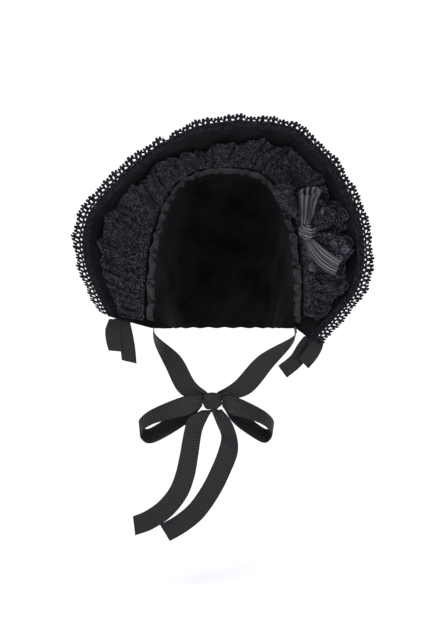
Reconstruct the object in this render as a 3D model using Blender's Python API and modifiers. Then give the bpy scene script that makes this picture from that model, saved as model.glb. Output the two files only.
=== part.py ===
"""Costume bonnet: a velvet brim and soft crown, with edge lace, a lace ruffle, ribbon ties and bows.

Metres, +Z up. The wearer's face looks out along -Y, and +X is the wearer's left.
The origin lies on the crown's inner face, where the top of the head rests.
"""

import math

import bmesh
import bpy
from mathutils import Vector

MM = 0.001

# Head opening: an arch whose feet are behind the jaw, leaning forward at its top
HEAD_HALF_WIDTH = 84 * MM
HEAD_DROP = 182 * MM  # from the seat down to the feet of the arch
FOOT_BACK = 6 * MM  # the feet's distance behind the seat
OPENING_LEAN = 5.0  # degrees that the arch leans forward of upright
OPENING_SQUARENESS = 3.0  # 2 is an ellipse, more is boxier

# Crown: a soft hood from the opening back over the head to the nape
CROWN_CENTRE_BACK = 12 * MM
CROWN_HALF_LENGTH = 112 * MM
CROWN_HALF_HEIGHT = 97 * MM
NAPE_HALF_WIDTH = 62 * MM
NAPE_TURN = 92.0  # degrees from upright at which the nape edge lies
CROWN_SQUARENESS_BACK = 2.3
CROWN_WALL = 2.0 * MM

# Brim: a stiff poke that flares from the opening to the outer edge
BRIM_HALF_WIDTH = 157 * MM
BRIM_FORWARD = 93 * MM
BRIM_RISE = 47 * MM  # its highest point above the seat
BRIM_HEIGHT = 243 * MM  # from its highest point down to its lower tip
BRIM_WALL = 3.0 * MM
BRIM_BULGE = 0.042  # how far it is bowed outwards, as a share of its width
BRIM_GAP = 1.2 * MM  # seam between the brim and the crown

# Edge lace
LACE_WIDTH = 17.0 * MM  # beyond the brim's edge
LACE_WALL = 1.2 * MM
LACE_SCALLOPS = 41
LACE_HEADING = 6.5 * MM  # how far its heading lies over the brim's face
LACE_BAND = 2.5 * MM  # solid part beyond the brim's edge
LACE_HOLE = 6.0 * MM  # length of the pierced row
LACE_DIP = 4.0 * MM  # how far the edge dips between scallops
LACE_WAVE = 1.6 * MM
LACE_TURN = 34.0  # degrees that it turns outwards beyond its solid part

# Ruffle and ruche on the brim's inner face
RUFFLE_FROM = 11.5 * MM  # its seam's distance from the opening
RUFFLE_ENDS = (-0.97, 0.91)  # how far it runs down to each foot of the opening
RUFFLE_FOLDS = 29
RUFFLE_DEPTH = 11.0 * MM
RUFFLE_WALL = 1.2 * MM
RUFFLE_LIFT = 2.8 * MM
RUCHE_WIDTH = 11.0 * MM
RUCHE_WAVES = 30
RUCHE_DEPTH = 5.0 * MM
RUCHE_WALL = 1.0 * MM
RUCHE_LIFT = 2.6 * MM
RUCHE_TUCK = 1.5 * MM  # how far its inner edge reaches past the opening

# Bow on the wearer's left
BOW_TURN = 0.51  # share of the way from the opening's top to its left foot
BOW_ACROSS = 0.40  # share of the brim's width
BOW_LIFT = 25.0 * MM
BOW_LENGTH = 55.0 * MM  # from the knot to the top of the upper loop
BOW_KNOT = 17.0 * MM
BOW_WALL = 1.2 * MM

# Ties
RIBBON_WIDTH = 22.0 * MM
RIBBON_WALL = 1.2 * MM
TIE_START_RISE = 3.0 * MM  # its start's height above the opening's feet
TIE_FIRST_DROP = 15.0 * MM  # straight fall before it turns under the jaw
TIE_FIRST_IN = 2.0 * MM
TIE_FIRST_FORWARD = 1.0 * MM
JAW_OUT = 4.0 * MM  # how far the jaw bows the tie out of a straight line
JAW_FORWARD = 9.0 * MM
JAW_UP = 2.5 * MM
UNDER_OUT = 8.5 * MM  # the same, under the chin
UNDER_FORWARD = 6.0 * MM
UNDER_DOWN = 3.5 * MM
TIE_END_RISE = 4.0 * MM  # where the tie enters the knot, above its centre
CHIN_SIDE = -14.0 * MM
CHIN_FORWARD = 66.0 * MM
CHIN_DROP = 259.0 * MM
CHIN_KNOT = 22.0 * MM
TAIL_LENGTH = 150.0 * MM  # drop of the longer tail below the knot
LOOP_LENGTH = 74.0 * MM
LOOP_RISE = 2.0 * MM  # how far above the knot's centre the loops leave it
SIDE_TAIL_LENGTH = 46.0 * MM
SIDE_KNOT = 17.0 * MM
CLEARANCE = 0.5 * MM
SEAM = 0.35 * MM  # gap between two pieces that are sewn together

# Outer edge, from the tip by the wearer's right jaw over the top to the left one.
# side: share of BRIM_HALF_WIDTH. forward: share of BRIM_FORWARD. down: share of BRIM_HEIGHT.
EDGE_ROWS = (
    # side, forward, down
    (-0.84, 0.22, 0.88),
    (-0.90, 0.38, 0.79),
    (-0.97, 0.52, 0.675),
    (-1.00, 0.645, 0.555),
    (-0.98, 0.71, 0.46),
    (-0.91, 0.775, 0.37),
    (-0.655, 0.88, 0.205),
    (-0.37, 0.955, 0.075),
    (-0.14, 0.985, 0.02),
    (0.10, 1.0, 0.0),
    (0.32, 0.99, 0.01),
    (0.50, 0.965, 0.045),
    (0.73, 0.90, 0.177),
    (0.82, 0.85, 0.27),
    (0.905, 0.795, 0.37),
    (0.965, 0.72, 0.49),
    (0.98, 0.645, 0.63),
    (0.935, 0.54, 0.755),
    (0.83, 0.375, 0.855),
    (0.64, 0.11, 1.0),
)
EDGE_TOP_ROW = 9

# The ruffle's free edge. turn: from -1 at the opening's right foot to 1 at its left.
# reach: share of the brim's width.
RUFFLE_REACH = (
    # turn, reach
    (-1.00, 0.70),
    (-0.75, 0.76),
    (-0.55, 0.78),
    (-0.38, 0.80),
    (-0.24, 0.72),
    (-0.12, 0.52),
    (0.05, 0.68),
    (0.25, 0.74),
    (0.50, 0.80),
    (0.75, 0.82),
    (1.00, 0.80),
)

# Tails below the chin knot. side and down: shares of TAIL_LENGTH from the knot's centre.
# forward: the same, towards the front. turn: degrees that the ribbon's face is turned from the front.
# slant: degrees that its width is turned from level.
TAIL_ROWS = {
    "chin_tail_right": (
        # side, forward, down, turn, slant
        (-0.035, 0.02, 0.065, 10, 0),
        (-0.104, 0.04, 0.125, 15, -3),
        (-0.141, 0.05, 0.225, 25, -5),
        (-0.170, 0.06, 0.395, 22, -7),
        (-0.200, 0.07, 0.542, 15, -12),
        (-0.252, 0.08, 0.674, 12, -27),
        (-0.348, 0.09, 0.792, 10, -48),
        (-0.466, 0.10, 0.872, 8, -70),
        (-0.577, 0.10, 0.916, 8, -84),
    ),
    "chin_tail_left": (
        (0.030, -0.01, 0.07, -10, 0),
        (0.085, -0.02, 0.16, -45, 10),
        (0.126, -0.03, 0.273, -40, 0),
        (0.118, -0.02, 0.384, -10, -8),
        (0.066, -0.01, 0.518, 5, -20),
        (-0.008, 0.00, 0.666, 8, -28),
        (-0.112, 0.01, 0.815, 8, -42),
        (-0.224, 0.02, 0.910, 8, -54),
        (-0.351, 0.02, 0.985, 8, -60),
    ),
}

# Loops of the chin bow. out: share of LOOP_LENGTH away from the knot. drop: the same, downwards.
# forward: the same, towards the front.
LOOP_ROWS = (
    # out, drop, forward, turn of the width from upright towards the back, in degrees
    (0.0, 0.03, 0.03, 0),
    (0.36, 0.08, 0.07, 28),
    (0.70, 0.18, 0.08, 45),
    (0.97, 0.30, 0.06, 55),
    (1.09, 0.44, 0.02, 56),
    (0.99, 0.56, -0.03, 55),
    (0.80, 0.50, -0.07, 45),
    (0.40, 0.24, -0.09, 28),
    (0.0, 0.04, -0.04, 0),
)

# Width of a tie at its start, low, jaw, under and end points.
TIE_TURNS = (
    # turn of the width up from straight ahead, in degrees, and how much of it points inwards
    (0, 0.0),
    (22, 0.3),
    (64, 1.3),
    (80, 1.1),
    (82, 0.1),
)


def clear_scene():
    for obj in list(bpy.data.objects):
        bpy.data.objects.remove(obj, do_unlink=True)


def make_material(name, colour, roughness, sheen=0.0):
    material = bpy.data.materials.new(name)
    material.use_nodes = True
    shader = next(n for n in material.node_tree.nodes if n.type == "BSDF_PRINCIPLED")
    shader.inputs["Base Color"].default_value = (*colour, 1.0)
    shader.inputs["Roughness"].default_value = roughness
    shader.inputs["Metallic"].default_value = 0.0
    shader.inputs["Sheen Weight"].default_value = sheen
    return material


def catmull(points, share):
    """The point at a share of the way through a smooth curve that passes each given point."""
    spans = len(points) - 1
    at = min(max(share, 0.0), 1.0) * spans
    i = min(int(at), spans - 1)
    t = at - i
    p1, p2 = points[i], points[i + 1]
    p0 = points[i - 1] if i else p1 * 2 - p2
    p3 = points[i + 2] if i + 2 <= spans else p2 * 2 - p1
    return 0.5 * (
        2 * p1 + (p2 - p0) * t + (2 * p0 - 5 * p1 + 4 * p2 - p3) * t * t
        + (3 * p1 - p0 - 3 * p2 + p3) * t ** 3
    )


def by_length(points):
    """A function giving the point at a share of the length of a fine chain of points."""
    reach = [0.0]
    for a, b in zip(points, points[1:]):
        reach.append(reach[-1] + (b - a).length)

    def at(share):
        want = min(max(share, 0.0), 1.0) * reach[-1]
        low, high = 0, len(reach) - 1
        while high - low > 1:
            middle = (low + high) // 2
            if reach[middle] <= want:
                low = middle
            else:
                high = middle
        span = reach[high] - reach[low]
        return points[low].lerp(points[high], (want - reach[low]) / span if span else 0.0)

    return at


def smooth_chain(points, steps=160):
    return by_length([catmull(points, i / steps) for i in range(steps + 1)])


def crown_reach(lean, offset):
    """Distance from the feet's axis to the crown's profile, lean degrees back of upright."""
    a = CROWN_HALF_LENGTH + offset
    b = CROWN_HALF_HEIGHT + offset
    dy, dz = math.sin(math.radians(lean)), math.cos(math.radians(lean))
    y0 = FOOT_BACK - CROWN_CENTRE_BACK
    z0 = CROWN_HALF_HEIGHT - HEAD_DROP
    p = (dy / a) ** 2 + (dz / b) ** 2
    q = y0 * dy / a ** 2 + z0 * dz / b ** 2
    r = (y0 / a) ** 2 + (z0 / b) ** 2 - 1
    return (-q + math.sqrt(q * q - p * r)) / p


def make_arch(lean, half_width, squareness, offset):
    """The arch of the hood at one lean: u runs by length from -1 at the right foot to 1 at the left."""
    reach = crown_reach(lean, offset)
    dy, dz = math.sin(math.radians(lean)), math.cos(math.radians(lean))
    points = []
    for i in range(241):
        a = math.pi / 2 * (i / 120 - 1)
        side = half_width * math.copysign(abs(math.sin(a)) ** (2 / squareness), a)
        up = reach * abs(math.cos(a)) ** (2 / squareness)
        points.append(Vector((side, FOOT_BACK + up * dy, up * dz - HEAD_DROP)))
    chain = by_length(points)
    return lambda u: chain((u + 1) / 2)


OPENING = make_arch(-OPENING_LEAN, HEAD_HALF_WIDTH, OPENING_SQUARENESS, CROWN_WALL / 2)
EDGE_POINTS = [
    Vector((side * BRIM_HALF_WIDTH, -forward * BRIM_FORWARD, BRIM_RISE - down * BRIM_HEIGHT))
    for side, forward, down in EDGE_ROWS
]
EDGE_RIGHT = smooth_chain(EDGE_POINTS[EDGE_TOP_ROW::-1])
EDGE_LEFT = smooth_chain(EDGE_POINTS[EDGE_TOP_ROW:])
FACE_AXIS = Vector((0, -60 * MM, -95 * MM))


def brim_flat(u, v):
    """A point of the brim's middle: u from -1 to 1 around it, v from 0 at the opening to 1 at the edge."""
    root = OPENING(u)
    edge = EDGE_LEFT(u) if u > 0 else EDGE_RIGHT(-u)
    across = edge - root
    along = OPENING(min(u + 0.02, 1)) - OPENING(max(u - 0.02, -1))
    out = along.cross(across).normalized()
    if out.dot(root - FACE_AXIS) < 0:
        out.negate()
    start = BRIM_GAP / across.length
    w = start + (1 - start) * v
    return root + across * w + out * BRIM_BULGE * across.length * 4 * w * (1 - w)


def brim_frame(u, v):
    """The brim's point at u, v, with its directions along the edge, towards the edge, and to the face."""
    step = 0.012
    here = brim_flat(u, v)
    along = (brim_flat(min(u + step, 1), v) - brim_flat(max(u - step, -1), v)).normalized()
    across = (brim_flat(u, v + step) - brim_flat(u, v - step)).normalized()
    face = along.cross(across).normalized()
    if face.dot(here - FACE_AXIS) > 0:
        face.negate()
    return here, along, across, face


def brim_at(u, v, lift=0.0):
    here, _, _, face = brim_frame(u, v)
    return here + face * lift


def add_object(name, mesh, material):
    mesh.materials.append(material)
    obj = bpy.data.objects.new(name, mesh)
    COLLECTION.objects.link(obj)
    return obj


def sheet(name, grid, wall, material, around=False, missing=()):
    """A grid of points as one closed wall. around joins the last column to the first."""
    mesh = bpy.data.meshes.new(name)
    bm = bmesh.new()
    points = [[bm.verts.new(point) for point in row] for row in grid]
    for i in range(len(grid) - 1):
        columns = len(grid[i])
        for j in range(columns if around else columns - 1):
            if (i, j) in missing:
                continue
            k = (j + 1) % columns
            bm.faces.new((points[i][j], points[i][k], points[i + 1][k], points[i + 1][j]))
    bmesh.ops.triangulate(bm, faces=bm.faces, quad_method="SHORT_EDGE")
    bmesh.ops.recalc_face_normals(bm, faces=bm.faces)
    bm.to_mesh(mesh)
    bm.free()
    mesh.shade_smooth()
    obj = add_object(name, mesh, material)
    shell = obj.modifiers.new("wall", "SOLIDIFY")
    shell.thickness = wall
    shell.offset = 0.0
    return obj


def strip_grid(centres, widths, steps, columns, fold=None):
    """Points of a ribbon: centres and half-width vectors are smoothed, fold(share, side) lifts it."""
    chain = [catmull(centres, i / steps) for i in range(steps + 1)]
    grid = []
    for i, centre in enumerate(chain):
        half = catmull(widths, i / steps)
        ahead = chain[min(i + 1, steps)] - chain[max(i - 1, 0)]
        face = half.cross(ahead).normalized()
        row = []
        for j in range(columns + 1):
            side = 2 * j / columns - 1
            lift = fold(i / steps, side) if fold else 0.0
            row.append(centre + half * side + face * lift)
        grid.append(row)
    return grid


def knot(name, centre, axes, material, wraps=2):
    """A pulled knot: a rounded block with shallow furrows between its wraps. axes are its half-sizes."""
    bm = bmesh.new()
    bmesh.ops.create_uvsphere(bm, u_segments=12, v_segments=8, radius=1.0)
    for vert in bm.verts:
        x, y, z = vert.co
        swell = (abs(x) ** 3 + abs(y) ** 3 + abs(z) ** 3) ** (-1 / 3)
        x, y, z = x * swell, y * swell, z * swell
        furrow = 1 - 0.06 * (1 - math.cos(wraps * math.pi * z))
        vert.co = centre + axes[0] * x * furrow + axes[1] * y * furrow + axes[2] * z
    if axes[0].cross(axes[1]).dot(axes[2]) < 0:
        bmesh.ops.reverse_faces(bm, faces=bm.faces)
    mesh = bpy.data.meshes.new(name)
    bm.to_mesh(mesh)
    bm.free()
    mesh.shade_smooth()
    return add_object(name, mesh, material)


def make_crown():
    steps, leans = 24, 8
    grid = []
    for i in range(leans + 1):
        t = i / leans
        lean = -OPENING_LEAN + (NAPE_TURN + OPENING_LEAN) * t
        ease = t * t * (3 - 2 * t)
        arch = make_arch(
            lean,
            HEAD_HALF_WIDTH + (NAPE_HALF_WIDTH - HEAD_HALF_WIDTH) * ease,
            OPENING_SQUARENESS + (CROWN_SQUARENESS_BACK - OPENING_SQUARENESS) * ease,
            CROWN_WALL / 2,
        )
        grid.append([arch(2 * j / steps - 1) for j in range(steps + 1)])
    sheet("crown", grid, CROWN_WALL, VELVET)


def make_brim():
    around, across = 48, 4
    grid = [
        [brim_flat(2 * j / around - 1, i / across) for j in range(around + 1)]
        for i in range(across + 1)
    ]
    sheet("brim", grid, BRIM_WALL, VELVET)


def make_edge_lace():
    """A scalloped strip sewn over the brim's edge, with two openings cut through each scallop."""
    around = LACE_SCALLOPS * 4
    levels = (-LACE_HEADING, LACE_BAND, LACE_BAND + LACE_HOLE, LACE_WIDTH)
    rest = (BRIM_WALL + LACE_WALL) / 2 + 2 * CLEARANCE
    grid = []
    for i, level in enumerate(levels):
        row = []
        for j in range(around + 1):
            u = (2 * j / around - 1) * 0.995
            reach = level - (LACE_DIP * (1 + math.cos(math.pi / 2 * j)) / 2 if i == 3 else 0)
            wave = LACE_WAVE * math.sin(2 * math.pi * LACE_SCALLOPS / 2.5 * j / around)
            if level < 0:
                width = (brim_flat(u, 1) - brim_flat(u, 0)).length
                row.append(brim_at(u, 1 + level / width, rest))
                continue
            here, _, across, face = brim_frame(u, 1.0)
            turn = math.radians(LACE_TURN)
            beyond = (across * math.cos(turn) - face * math.sin(turn)) * (reach - LACE_BAND)
            row.append(here + across * LACE_BAND + beyond + face * (rest + wave * level / LACE_WIDTH))
        grid.append(row)
    missing = {(1, j) for j in range(around) if j % 2}
    sheet("edge_lace", grid, LACE_WALL, LACE, missing=missing)


def ruffle_reach(u):
    for (a, first), (b, second) in zip(RUFFLE_REACH, RUFFLE_REACH[1:]):
        if u <= b:
            return first + (second - first) * (u - a) / (b - a)
    return RUFFLE_REACH[-1][1]


def crush(u):
    """How far the ruffle is pressed flat under the side bow."""
    return 1 - 0.65 * math.exp(-(((u - BOW_TURN) / 0.22) ** 2))


def make_ruffle():
    """Gathered lace, tight at its seam and standing in soft uneven folds at its free edge."""
    around, across = RUFFLE_FOLDS * 4, 3
    grid = []
    for i in range(across + 1):
        t = i / across
        row = []
        for j in range(around + 1):
            u = RUFFLE_ENDS[0] + (RUFFLE_ENDS[1] - RUFFLE_ENDS[0]) * j / around
            start = RUFFLE_FROM / (brim_flat(u, 1) - brim_flat(u, 0)).length
            turn = 2 * math.pi * RUFFLE_FOLDS * j / around
            uneven = 0.25 * math.sin(turn * 0.23 + 1.0) + 0.15 * math.sin(turn * 0.41)
            fold = 0.5 + 0.5 * math.sin(turn + 0.8 * t * math.sin(turn * 0.19))
            depth = RUFFLE_DEPTH * (0.18 + 0.82 * math.sin(math.pi / 2 * min(1.25 * t, 1)))
            lift = RUFFLE_LIFT + depth * crush(u) * fold * (0.75 + uneven)
            reach = ruffle_reach(u) + 0.035 * math.sin(turn * 0.33 + 2) + 0.03 * math.cos(turn)
            row.append(brim_at(u, start + (max(reach, start + 0.2) - start) * t, lift))
        grid.append(row)
    sheet("ruffle_lace", grid, RUFFLE_WALL, LACE)


def make_ruche():
    """A narrow ribbon gathered in a zigzag along the head opening."""
    around = RUCHE_WAVES * 4
    grid = []
    for i in range(2):
        row = []
        for j in range(around + 1):
            u = (2 * j / around - 1) * 0.96
            here, _, across, face = brim_frame(u, 0.0)
            wave = math.sin(2 * math.pi * RUCHE_WAVES * j / around + 0.6 * i)
            lift = RUCHE_LIFT + RUCHE_DEPTH * (0.5 + 0.5 * wave) * (0.55 + 0.45 * (1 - i))
            row.append(here + across * (i * RUCHE_WIDTH - RUCHE_TUCK) + face * lift)
        grid.append(row)
    sheet("ruche", grid, RUCHE_WALL, SATIN)


def make_side_bow():
    """The bow over the ruffle: pleated cups above the knot and tails below, ribbon over lace."""
    here, _, _, face = brim_frame(BOW_TURN, BOW_ACROSS)
    up = Vector((0, 0, 1))
    up = (up - face * face.z).normalized()
    right = up.cross(face)
    centre = here + face * BOW_LIFT

    def at(side, rise, out):
        return centre + (right * side + up * rise + face * out) * BOW_LENGTH

    half = BOW_KNOT / 2
    knot("bow_knot", centre, (right * half * 0.95, face * half * 0.75, up * half), SATIN, wraps=3)

    # Cups: rings from the knot up to an open mouth. All columns are shares of BOW_LENGTH.
    cups = {
        "bow_upper": (SATIN, 0.09, (
            # side, rise, half width, half depth, outward
            (0.00, 0.163, 0.11, 0.05, 0.02),
            (0.09, 0.36, 0.15, 0.07, 0.05),
            (0.17, 0.56, 0.17, 0.09, 0.08),
            (0.25, 0.75, 0.21, 0.11, 0.11),
            (0.31, 0.92, 0.26, 0.13, 0.12),
        )),
        "bow_lace_upper": (LACE, 0.12, (
            (-0.12, 0.173, 0.05, 0.03, -0.066),
            (-0.28, 0.38, 0.13, 0.05, -0.06),
            (-0.37, 0.58, 0.18, 0.07, -0.02),
            (-0.41, 0.80, 0.22, 0.08, 0.02),
            (-0.40, 1.00, 0.24, 0.08, 0.05),
        )),
    }
    ring = 20
    for name, (material, ruffle, rows) in cups.items():
        grid = []
        for k, (side, rise, wide, deep, out) in enumerate(rows):
            row = []
            for j in range(ring):
                a = 2 * math.pi * j / ring
                pleat = 1 + (ruffle * math.cos(5 * a) if k else 0)
                drop = 0.10 * (k / 4) ** 2 * (1 + math.sin(a)) / 2
                row.append(at(
                    side + wide * math.cos(a) * pleat, rise - drop, out + deep * math.sin(a) * pleat
                ))
            grid.append(row)
        sheet(name, grid, BOW_WALL, material, around=True)

    # Tails and lace ends. All columns but turn are shares of BOW_LENGTH.
    # turn: degrees of the width from level.
    ends = {
        "bow_lower": (SATIN, 0.035, (
            # side, rise, outward, half width, turn
            (0.00, -0.163, 0.01, 0.12, 0),
            (0.12, -0.36, 0.05, 0.18, 26),
            (0.29, -0.53, 0.09, 0.21, 42),
            (0.48, -0.67, 0.10, 0.21, 50),
            (0.66, -0.76, 0.10, 0.19, 58),
        )),
        "bow_lace_tail": (LACE, 0.03, (
            (-0.05, -0.155, -0.05, 0.07, 0),
            (-0.14, -0.40, -0.10, 0.13, -5),
            (-0.13, -0.64, -0.10, 0.15, -5),
            (-0.08, -0.90, -0.12, 0.14, 0),
        )),
        "bow_lace_side": (LACE, 0.03, (
            (0.152, 0.06, -0.03, 0.07, -90),
            (0.34, 0.20, -0.09, 0.20, -52),
            (0.50, 0.36, -0.07, 0.25, -45),
            (0.60, 0.52, -0.02, 0.25, -40),
        )),
        "bow_lace_lower": (LACE, 0.03, (
            (0.135, -0.10, -0.05, 0.05, 80),
            (0.38, -0.26, -0.18, 0.20, 50),
            (0.58, -0.48, -0.205, 0.26, 46),
            (0.72, -0.68, -0.135, 0.26, 42),
        )),
    }
    for name, (material, ruffle, rows) in ends.items():
        centres = [at(*row[:3]) for row in rows]
        widths = []
        for row in rows:
            a = math.radians(row[4])
            widths.append((right * math.cos(a) + up * math.sin(a)) * row[3] * BOW_LENGTH)
        grid = strip_grid(
            centres, widths, 8, 5,
            lambda t, s: ruffle * BOW_LENGTH * math.sin(2.6 * t) * math.cos(2.0 * math.pi * s),
        )
        sheet(name, grid, BOW_WALL, material)


def chin_centre():
    return Vector((CHIN_SIDE, -CHIN_FORWARD, -CHIN_DROP))


def make_chin_bow():
    centre = chin_centre()
    half = CHIN_KNOT / 2
    axes = (Vector((half, 0, 0)), Vector((0, half * 0.62, 0)), Vector((0, 0, half * 0.86)))
    knot("chin_knot", centre, axes, GROSGRAIN)

    for name, hand in (("chin_loop_right", -1), ("chin_loop_left", 1)):
        centres, widths = [], []
        for i, (out, drop, forward, turn) in enumerate(LOOP_ROWS):
            at_knot = i in (0, len(LOOP_ROWS) - 1)
            reach = out * LOOP_LENGTH * (1.0 if hand < 0 else 0.84)
            centres.append(centre + Vector((
                hand * (CHIN_KNOT * (0.5 if i == 0 else 0.49) + SEAM if at_knot else reach),
                -forward * LOOP_LENGTH,
                -drop * LOOP_LENGTH + LOOP_RISE,
            )))
            pinch = 0.45 if at_knot else 1.0
            a = math.radians(turn)
            widths.append(
                Vector((hand * 0.15 * math.sin(a), math.sin(a), math.cos(a))) * RIBBON_WIDTH / 2 * pinch
            )
        sheet(name, strip_grid(centres, widths, 26, 2), RIBBON_WALL, GROSGRAIN)

    for name, rows in TAIL_ROWS.items():
        centres, widths = [], []
        for i, (side, forward, down, turn, slant) in enumerate(rows):
            point = centre + Vector((side, -forward, -down)) * TAIL_LENGTH
            if i == 0:
                point.z = centre.z - CHIN_KNOT * 0.43 - SEAM
            centres.append(point)
            t, s = math.radians(turn), math.radians(slant)
            pinch = 0.55 if i == 0 else 1.0
            widths.append(
                Vector((math.cos(t) * math.cos(s), math.sin(t), math.sin(s)))
                * RIBBON_WIDTH / 2 * pinch
            )
        sheet(name, strip_grid(centres, widths, 22, 2), RIBBON_WALL, GROSGRAIN)


def make_ties():
    """From inside the feet of the opening, along the jaw to the chin knot."""
    centre = chin_centre()
    for name, hand in (("chin_tie_right", -1), ("chin_tie_left", 1)):
        start = OPENING(hand) + Vector((
            -hand * ((BRIM_WALL + RIBBON_WALL) / 2 + SEAM),
            -(CROWN_WALL + RIBBON_WIDTH) / 2 - SEAM,
            TIE_START_RISE,
        ))
        low = start + Vector((-hand * TIE_FIRST_IN, -TIE_FIRST_FORWARD, -TIE_FIRST_DROP))
        end = centre + Vector((hand * CHIN_KNOT * 0.28, CHIN_KNOT * 0.31 + SEAM * 0.3, TIE_END_RISE))
        span = end - low
        jaw = low + span * 0.42 + Vector((hand * JAW_OUT, -JAW_FORWARD, JAW_UP))
        under = low + span * 0.78 + Vector((hand * UNDER_OUT, -UNDER_FORWARD, -UNDER_DOWN))
        centres = [start, low, jaw, under, end]
        widths = []
        for point, (turn, across) in zip(centres, TIE_TURNS):
            a = math.radians(turn)
            pinch = 0.45 if point is end else 1.0
            widths.append(
                Vector((-hand * across * math.sin(a), -math.cos(a), math.sin(a))).normalized()
                * RIBBON_WIDTH / 2 * pinch
            )
        sheet(name, strip_grid(centres, widths, 20, 2), RIBBON_WALL, GROSGRAIN)


def make_side_ribbons():
    """Short tails hanging behind the brim's lower tips."""
    # side, back, down: shares of SIDE_TAIL_LENGTH from the knot. turn: degrees of the width from level.
    rows = {
        "side_tail_right_outer": (-1, (
            (0.06, 0.0, 0.19, 0), (0.16, 0.04, 0.45, 4), (0.14, 0.05, 0.75, 2), (0.08, 0.05, 1.0, -6))),
        "side_tail_right_inner": (-1, (
            (-0.06, 0.07, 0.185, 0), (-0.14, 0.14, 0.55, -6), (-0.20, 0.15, 0.90, -8), (-0.24, 0.14, 1.28, -14))),
        "side_tail_left_outer": (1, (
            (0.03, 0.015, 0.185, 0), (0.03, 0.08, 0.40, 10), (-0.08, 0.10, 0.62, 30), (-0.28, 0.10, 0.86, 46))),
        "side_tail_left_inner": (1, (
            (-0.08, 0.06, 0.18, 0), (-0.24, 0.16, 0.45, 20), (-0.46, 0.17, 0.80, 40), (-0.80, 0.15, 1.08, 54))),
    }
    centres = {}
    for hand in (-1, 1):
        here, along, across, face = brim_frame(hand * 0.965, 0.62)
        centre = here - face * (BRIM_WALL / 2 + SIDE_KNOT * 0.31 + SEAM)
        centres[hand] = centre
        knot(
            "side_knot_left" if hand > 0 else "side_knot_right", centre,
            (across * SIDE_KNOT * 0.45, face * SIDE_KNOT * 0.31, along * SIDE_KNOT * 0.5), GROSGRAIN,
        )
    for name, (hand, table) in rows.items():
        points, widths = [], []
        for side, back, down, turn in table:
            points.append(
                centres[hand] + Vector((hand * side, back, -down)) * SIDE_TAIL_LENGTH
            )
            a = math.radians(turn)
            widths.append(
                Vector((math.cos(a), 0.15, -hand * math.sin(a))) * RIBBON_WIDTH * 0.40
            )
        sheet(name, strip_grid(points, widths, 12, 2), RIBBON_WALL, GROSGRAIN)


clear_scene()
COLLECTION = bpy.data.collections.new("lace_bonnet")
bpy.context.scene.collection.children.link(COLLECTION)
VELVET = make_material("velvet", (0.008, 0.007, 0.006), 0.85, sheen=0.6)
LACE = make_material("lace", (0.016, 0.016, 0.021), 0.9)
SATIN = make_material("satin", (0.022, 0.020, 0.022), 0.35)
GROSGRAIN = make_material("grosgrain", (0.012, 0.012, 0.013), 0.55)

make_crown()
make_brim()
make_edge_lace()
make_ruffle()
make_ruche()
make_side_bow()
make_chin_bow()
make_ties()
make_side_ribbons()
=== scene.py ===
# %% [markdown]
# # A velvet and lace bonnet
# The real object is a costume bonnet: a stiff brim covered in black cotton velvet, a soft hood behind it,
# cotton lace round the edge, a wide gathered lace ruffle inside the brim, and ribbons tied under the chin.
# The lesson loads a frame of plain solids first, and then dresses each solid with a detailed piece.
# The box of the frame is kept, because the finished bonnet must stay the same size.

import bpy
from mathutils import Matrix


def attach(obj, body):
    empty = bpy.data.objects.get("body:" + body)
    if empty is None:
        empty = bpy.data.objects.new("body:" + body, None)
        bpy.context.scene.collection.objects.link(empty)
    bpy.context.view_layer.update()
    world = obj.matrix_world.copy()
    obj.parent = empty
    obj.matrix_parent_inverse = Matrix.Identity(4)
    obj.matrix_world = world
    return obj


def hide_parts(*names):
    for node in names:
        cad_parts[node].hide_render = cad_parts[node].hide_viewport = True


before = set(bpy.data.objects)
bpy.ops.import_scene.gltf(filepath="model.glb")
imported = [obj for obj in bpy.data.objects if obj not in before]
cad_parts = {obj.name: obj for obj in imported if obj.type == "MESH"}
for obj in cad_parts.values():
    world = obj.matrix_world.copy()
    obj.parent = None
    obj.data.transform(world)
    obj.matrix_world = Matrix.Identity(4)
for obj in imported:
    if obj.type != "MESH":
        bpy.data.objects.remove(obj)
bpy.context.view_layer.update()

# %% [markdown]
# ## The camera
# The bonnet is seen from straight ahead at about face height, through a long lens that keeps its sides flat.
# A camera could be aimed with a constraint, but fixed numbers keep the view the same on every run.
# The lens is worked out for an image of 426 x 640, where the sensor's width lies along the tall side.

# %% Camera
import math

import bpy
import numpy as np
from mathutils import Vector

MM = 0.001
aim = Vector((-0.013, -0.080, -0.168))
distance, pitch = 1.5, math.radians(3)
camera = bpy.data.objects.new("camera", bpy.data.cameras.new("camera"))
bpy.context.scene.collection.objects.link(camera)
camera.data.sensor_width = 36
camera.data.lens = 1364 / 640 * 36
camera.location = aim + Vector((0, -distance * math.cos(pitch), distance * math.sin(pitch)))
camera.rotation_euler = (math.pi / 2 - pitch, 0, 0)
bpy.context.scene.camera = camera
print("lens", round(camera.data.lens, 1), "mm")

# %% [markdown]
# ## Curves measured by their length
# Cloth is cut and sewn by length, so every seam here is a chain of points that can be asked for a place
# at a share of its length. Bezier curves could do this too. A plain table of points with smooth
# interpolation is easier to bend lace and ribbon along, and it gives thousands of places at once.


# %% Chains of points
def unit(v):
    return v / np.linalg.norm(v, axis=-1, keepdims=True)


def dot(a, b):
    return (a * b).sum(-1)


def smooth(points, steps):
    """Points of a smooth curve (Catmull-Rom) that passes through each given point."""
    p = np.array(points, float)
    ends = np.concatenate([[2 * p[0] - p[1]], p, [2 * p[-1] - p[-2]]])
    at = np.linspace(0, len(p) - 1, steps + 1)
    i = np.minimum(at.astype(int), len(p) - 2)
    t = (at - i).reshape(-1, *[1] * (p.ndim - 1))
    a, b, c, d = ends[i], ends[i + 1], ends[i + 2], ends[i + 3]
    return 0.5 * (2 * b + (c - a) * t + (2 * a - 5 * b + 4 * c - d) * t**2 + (3 * b - a - 3 * c + d) * t**3)


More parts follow.
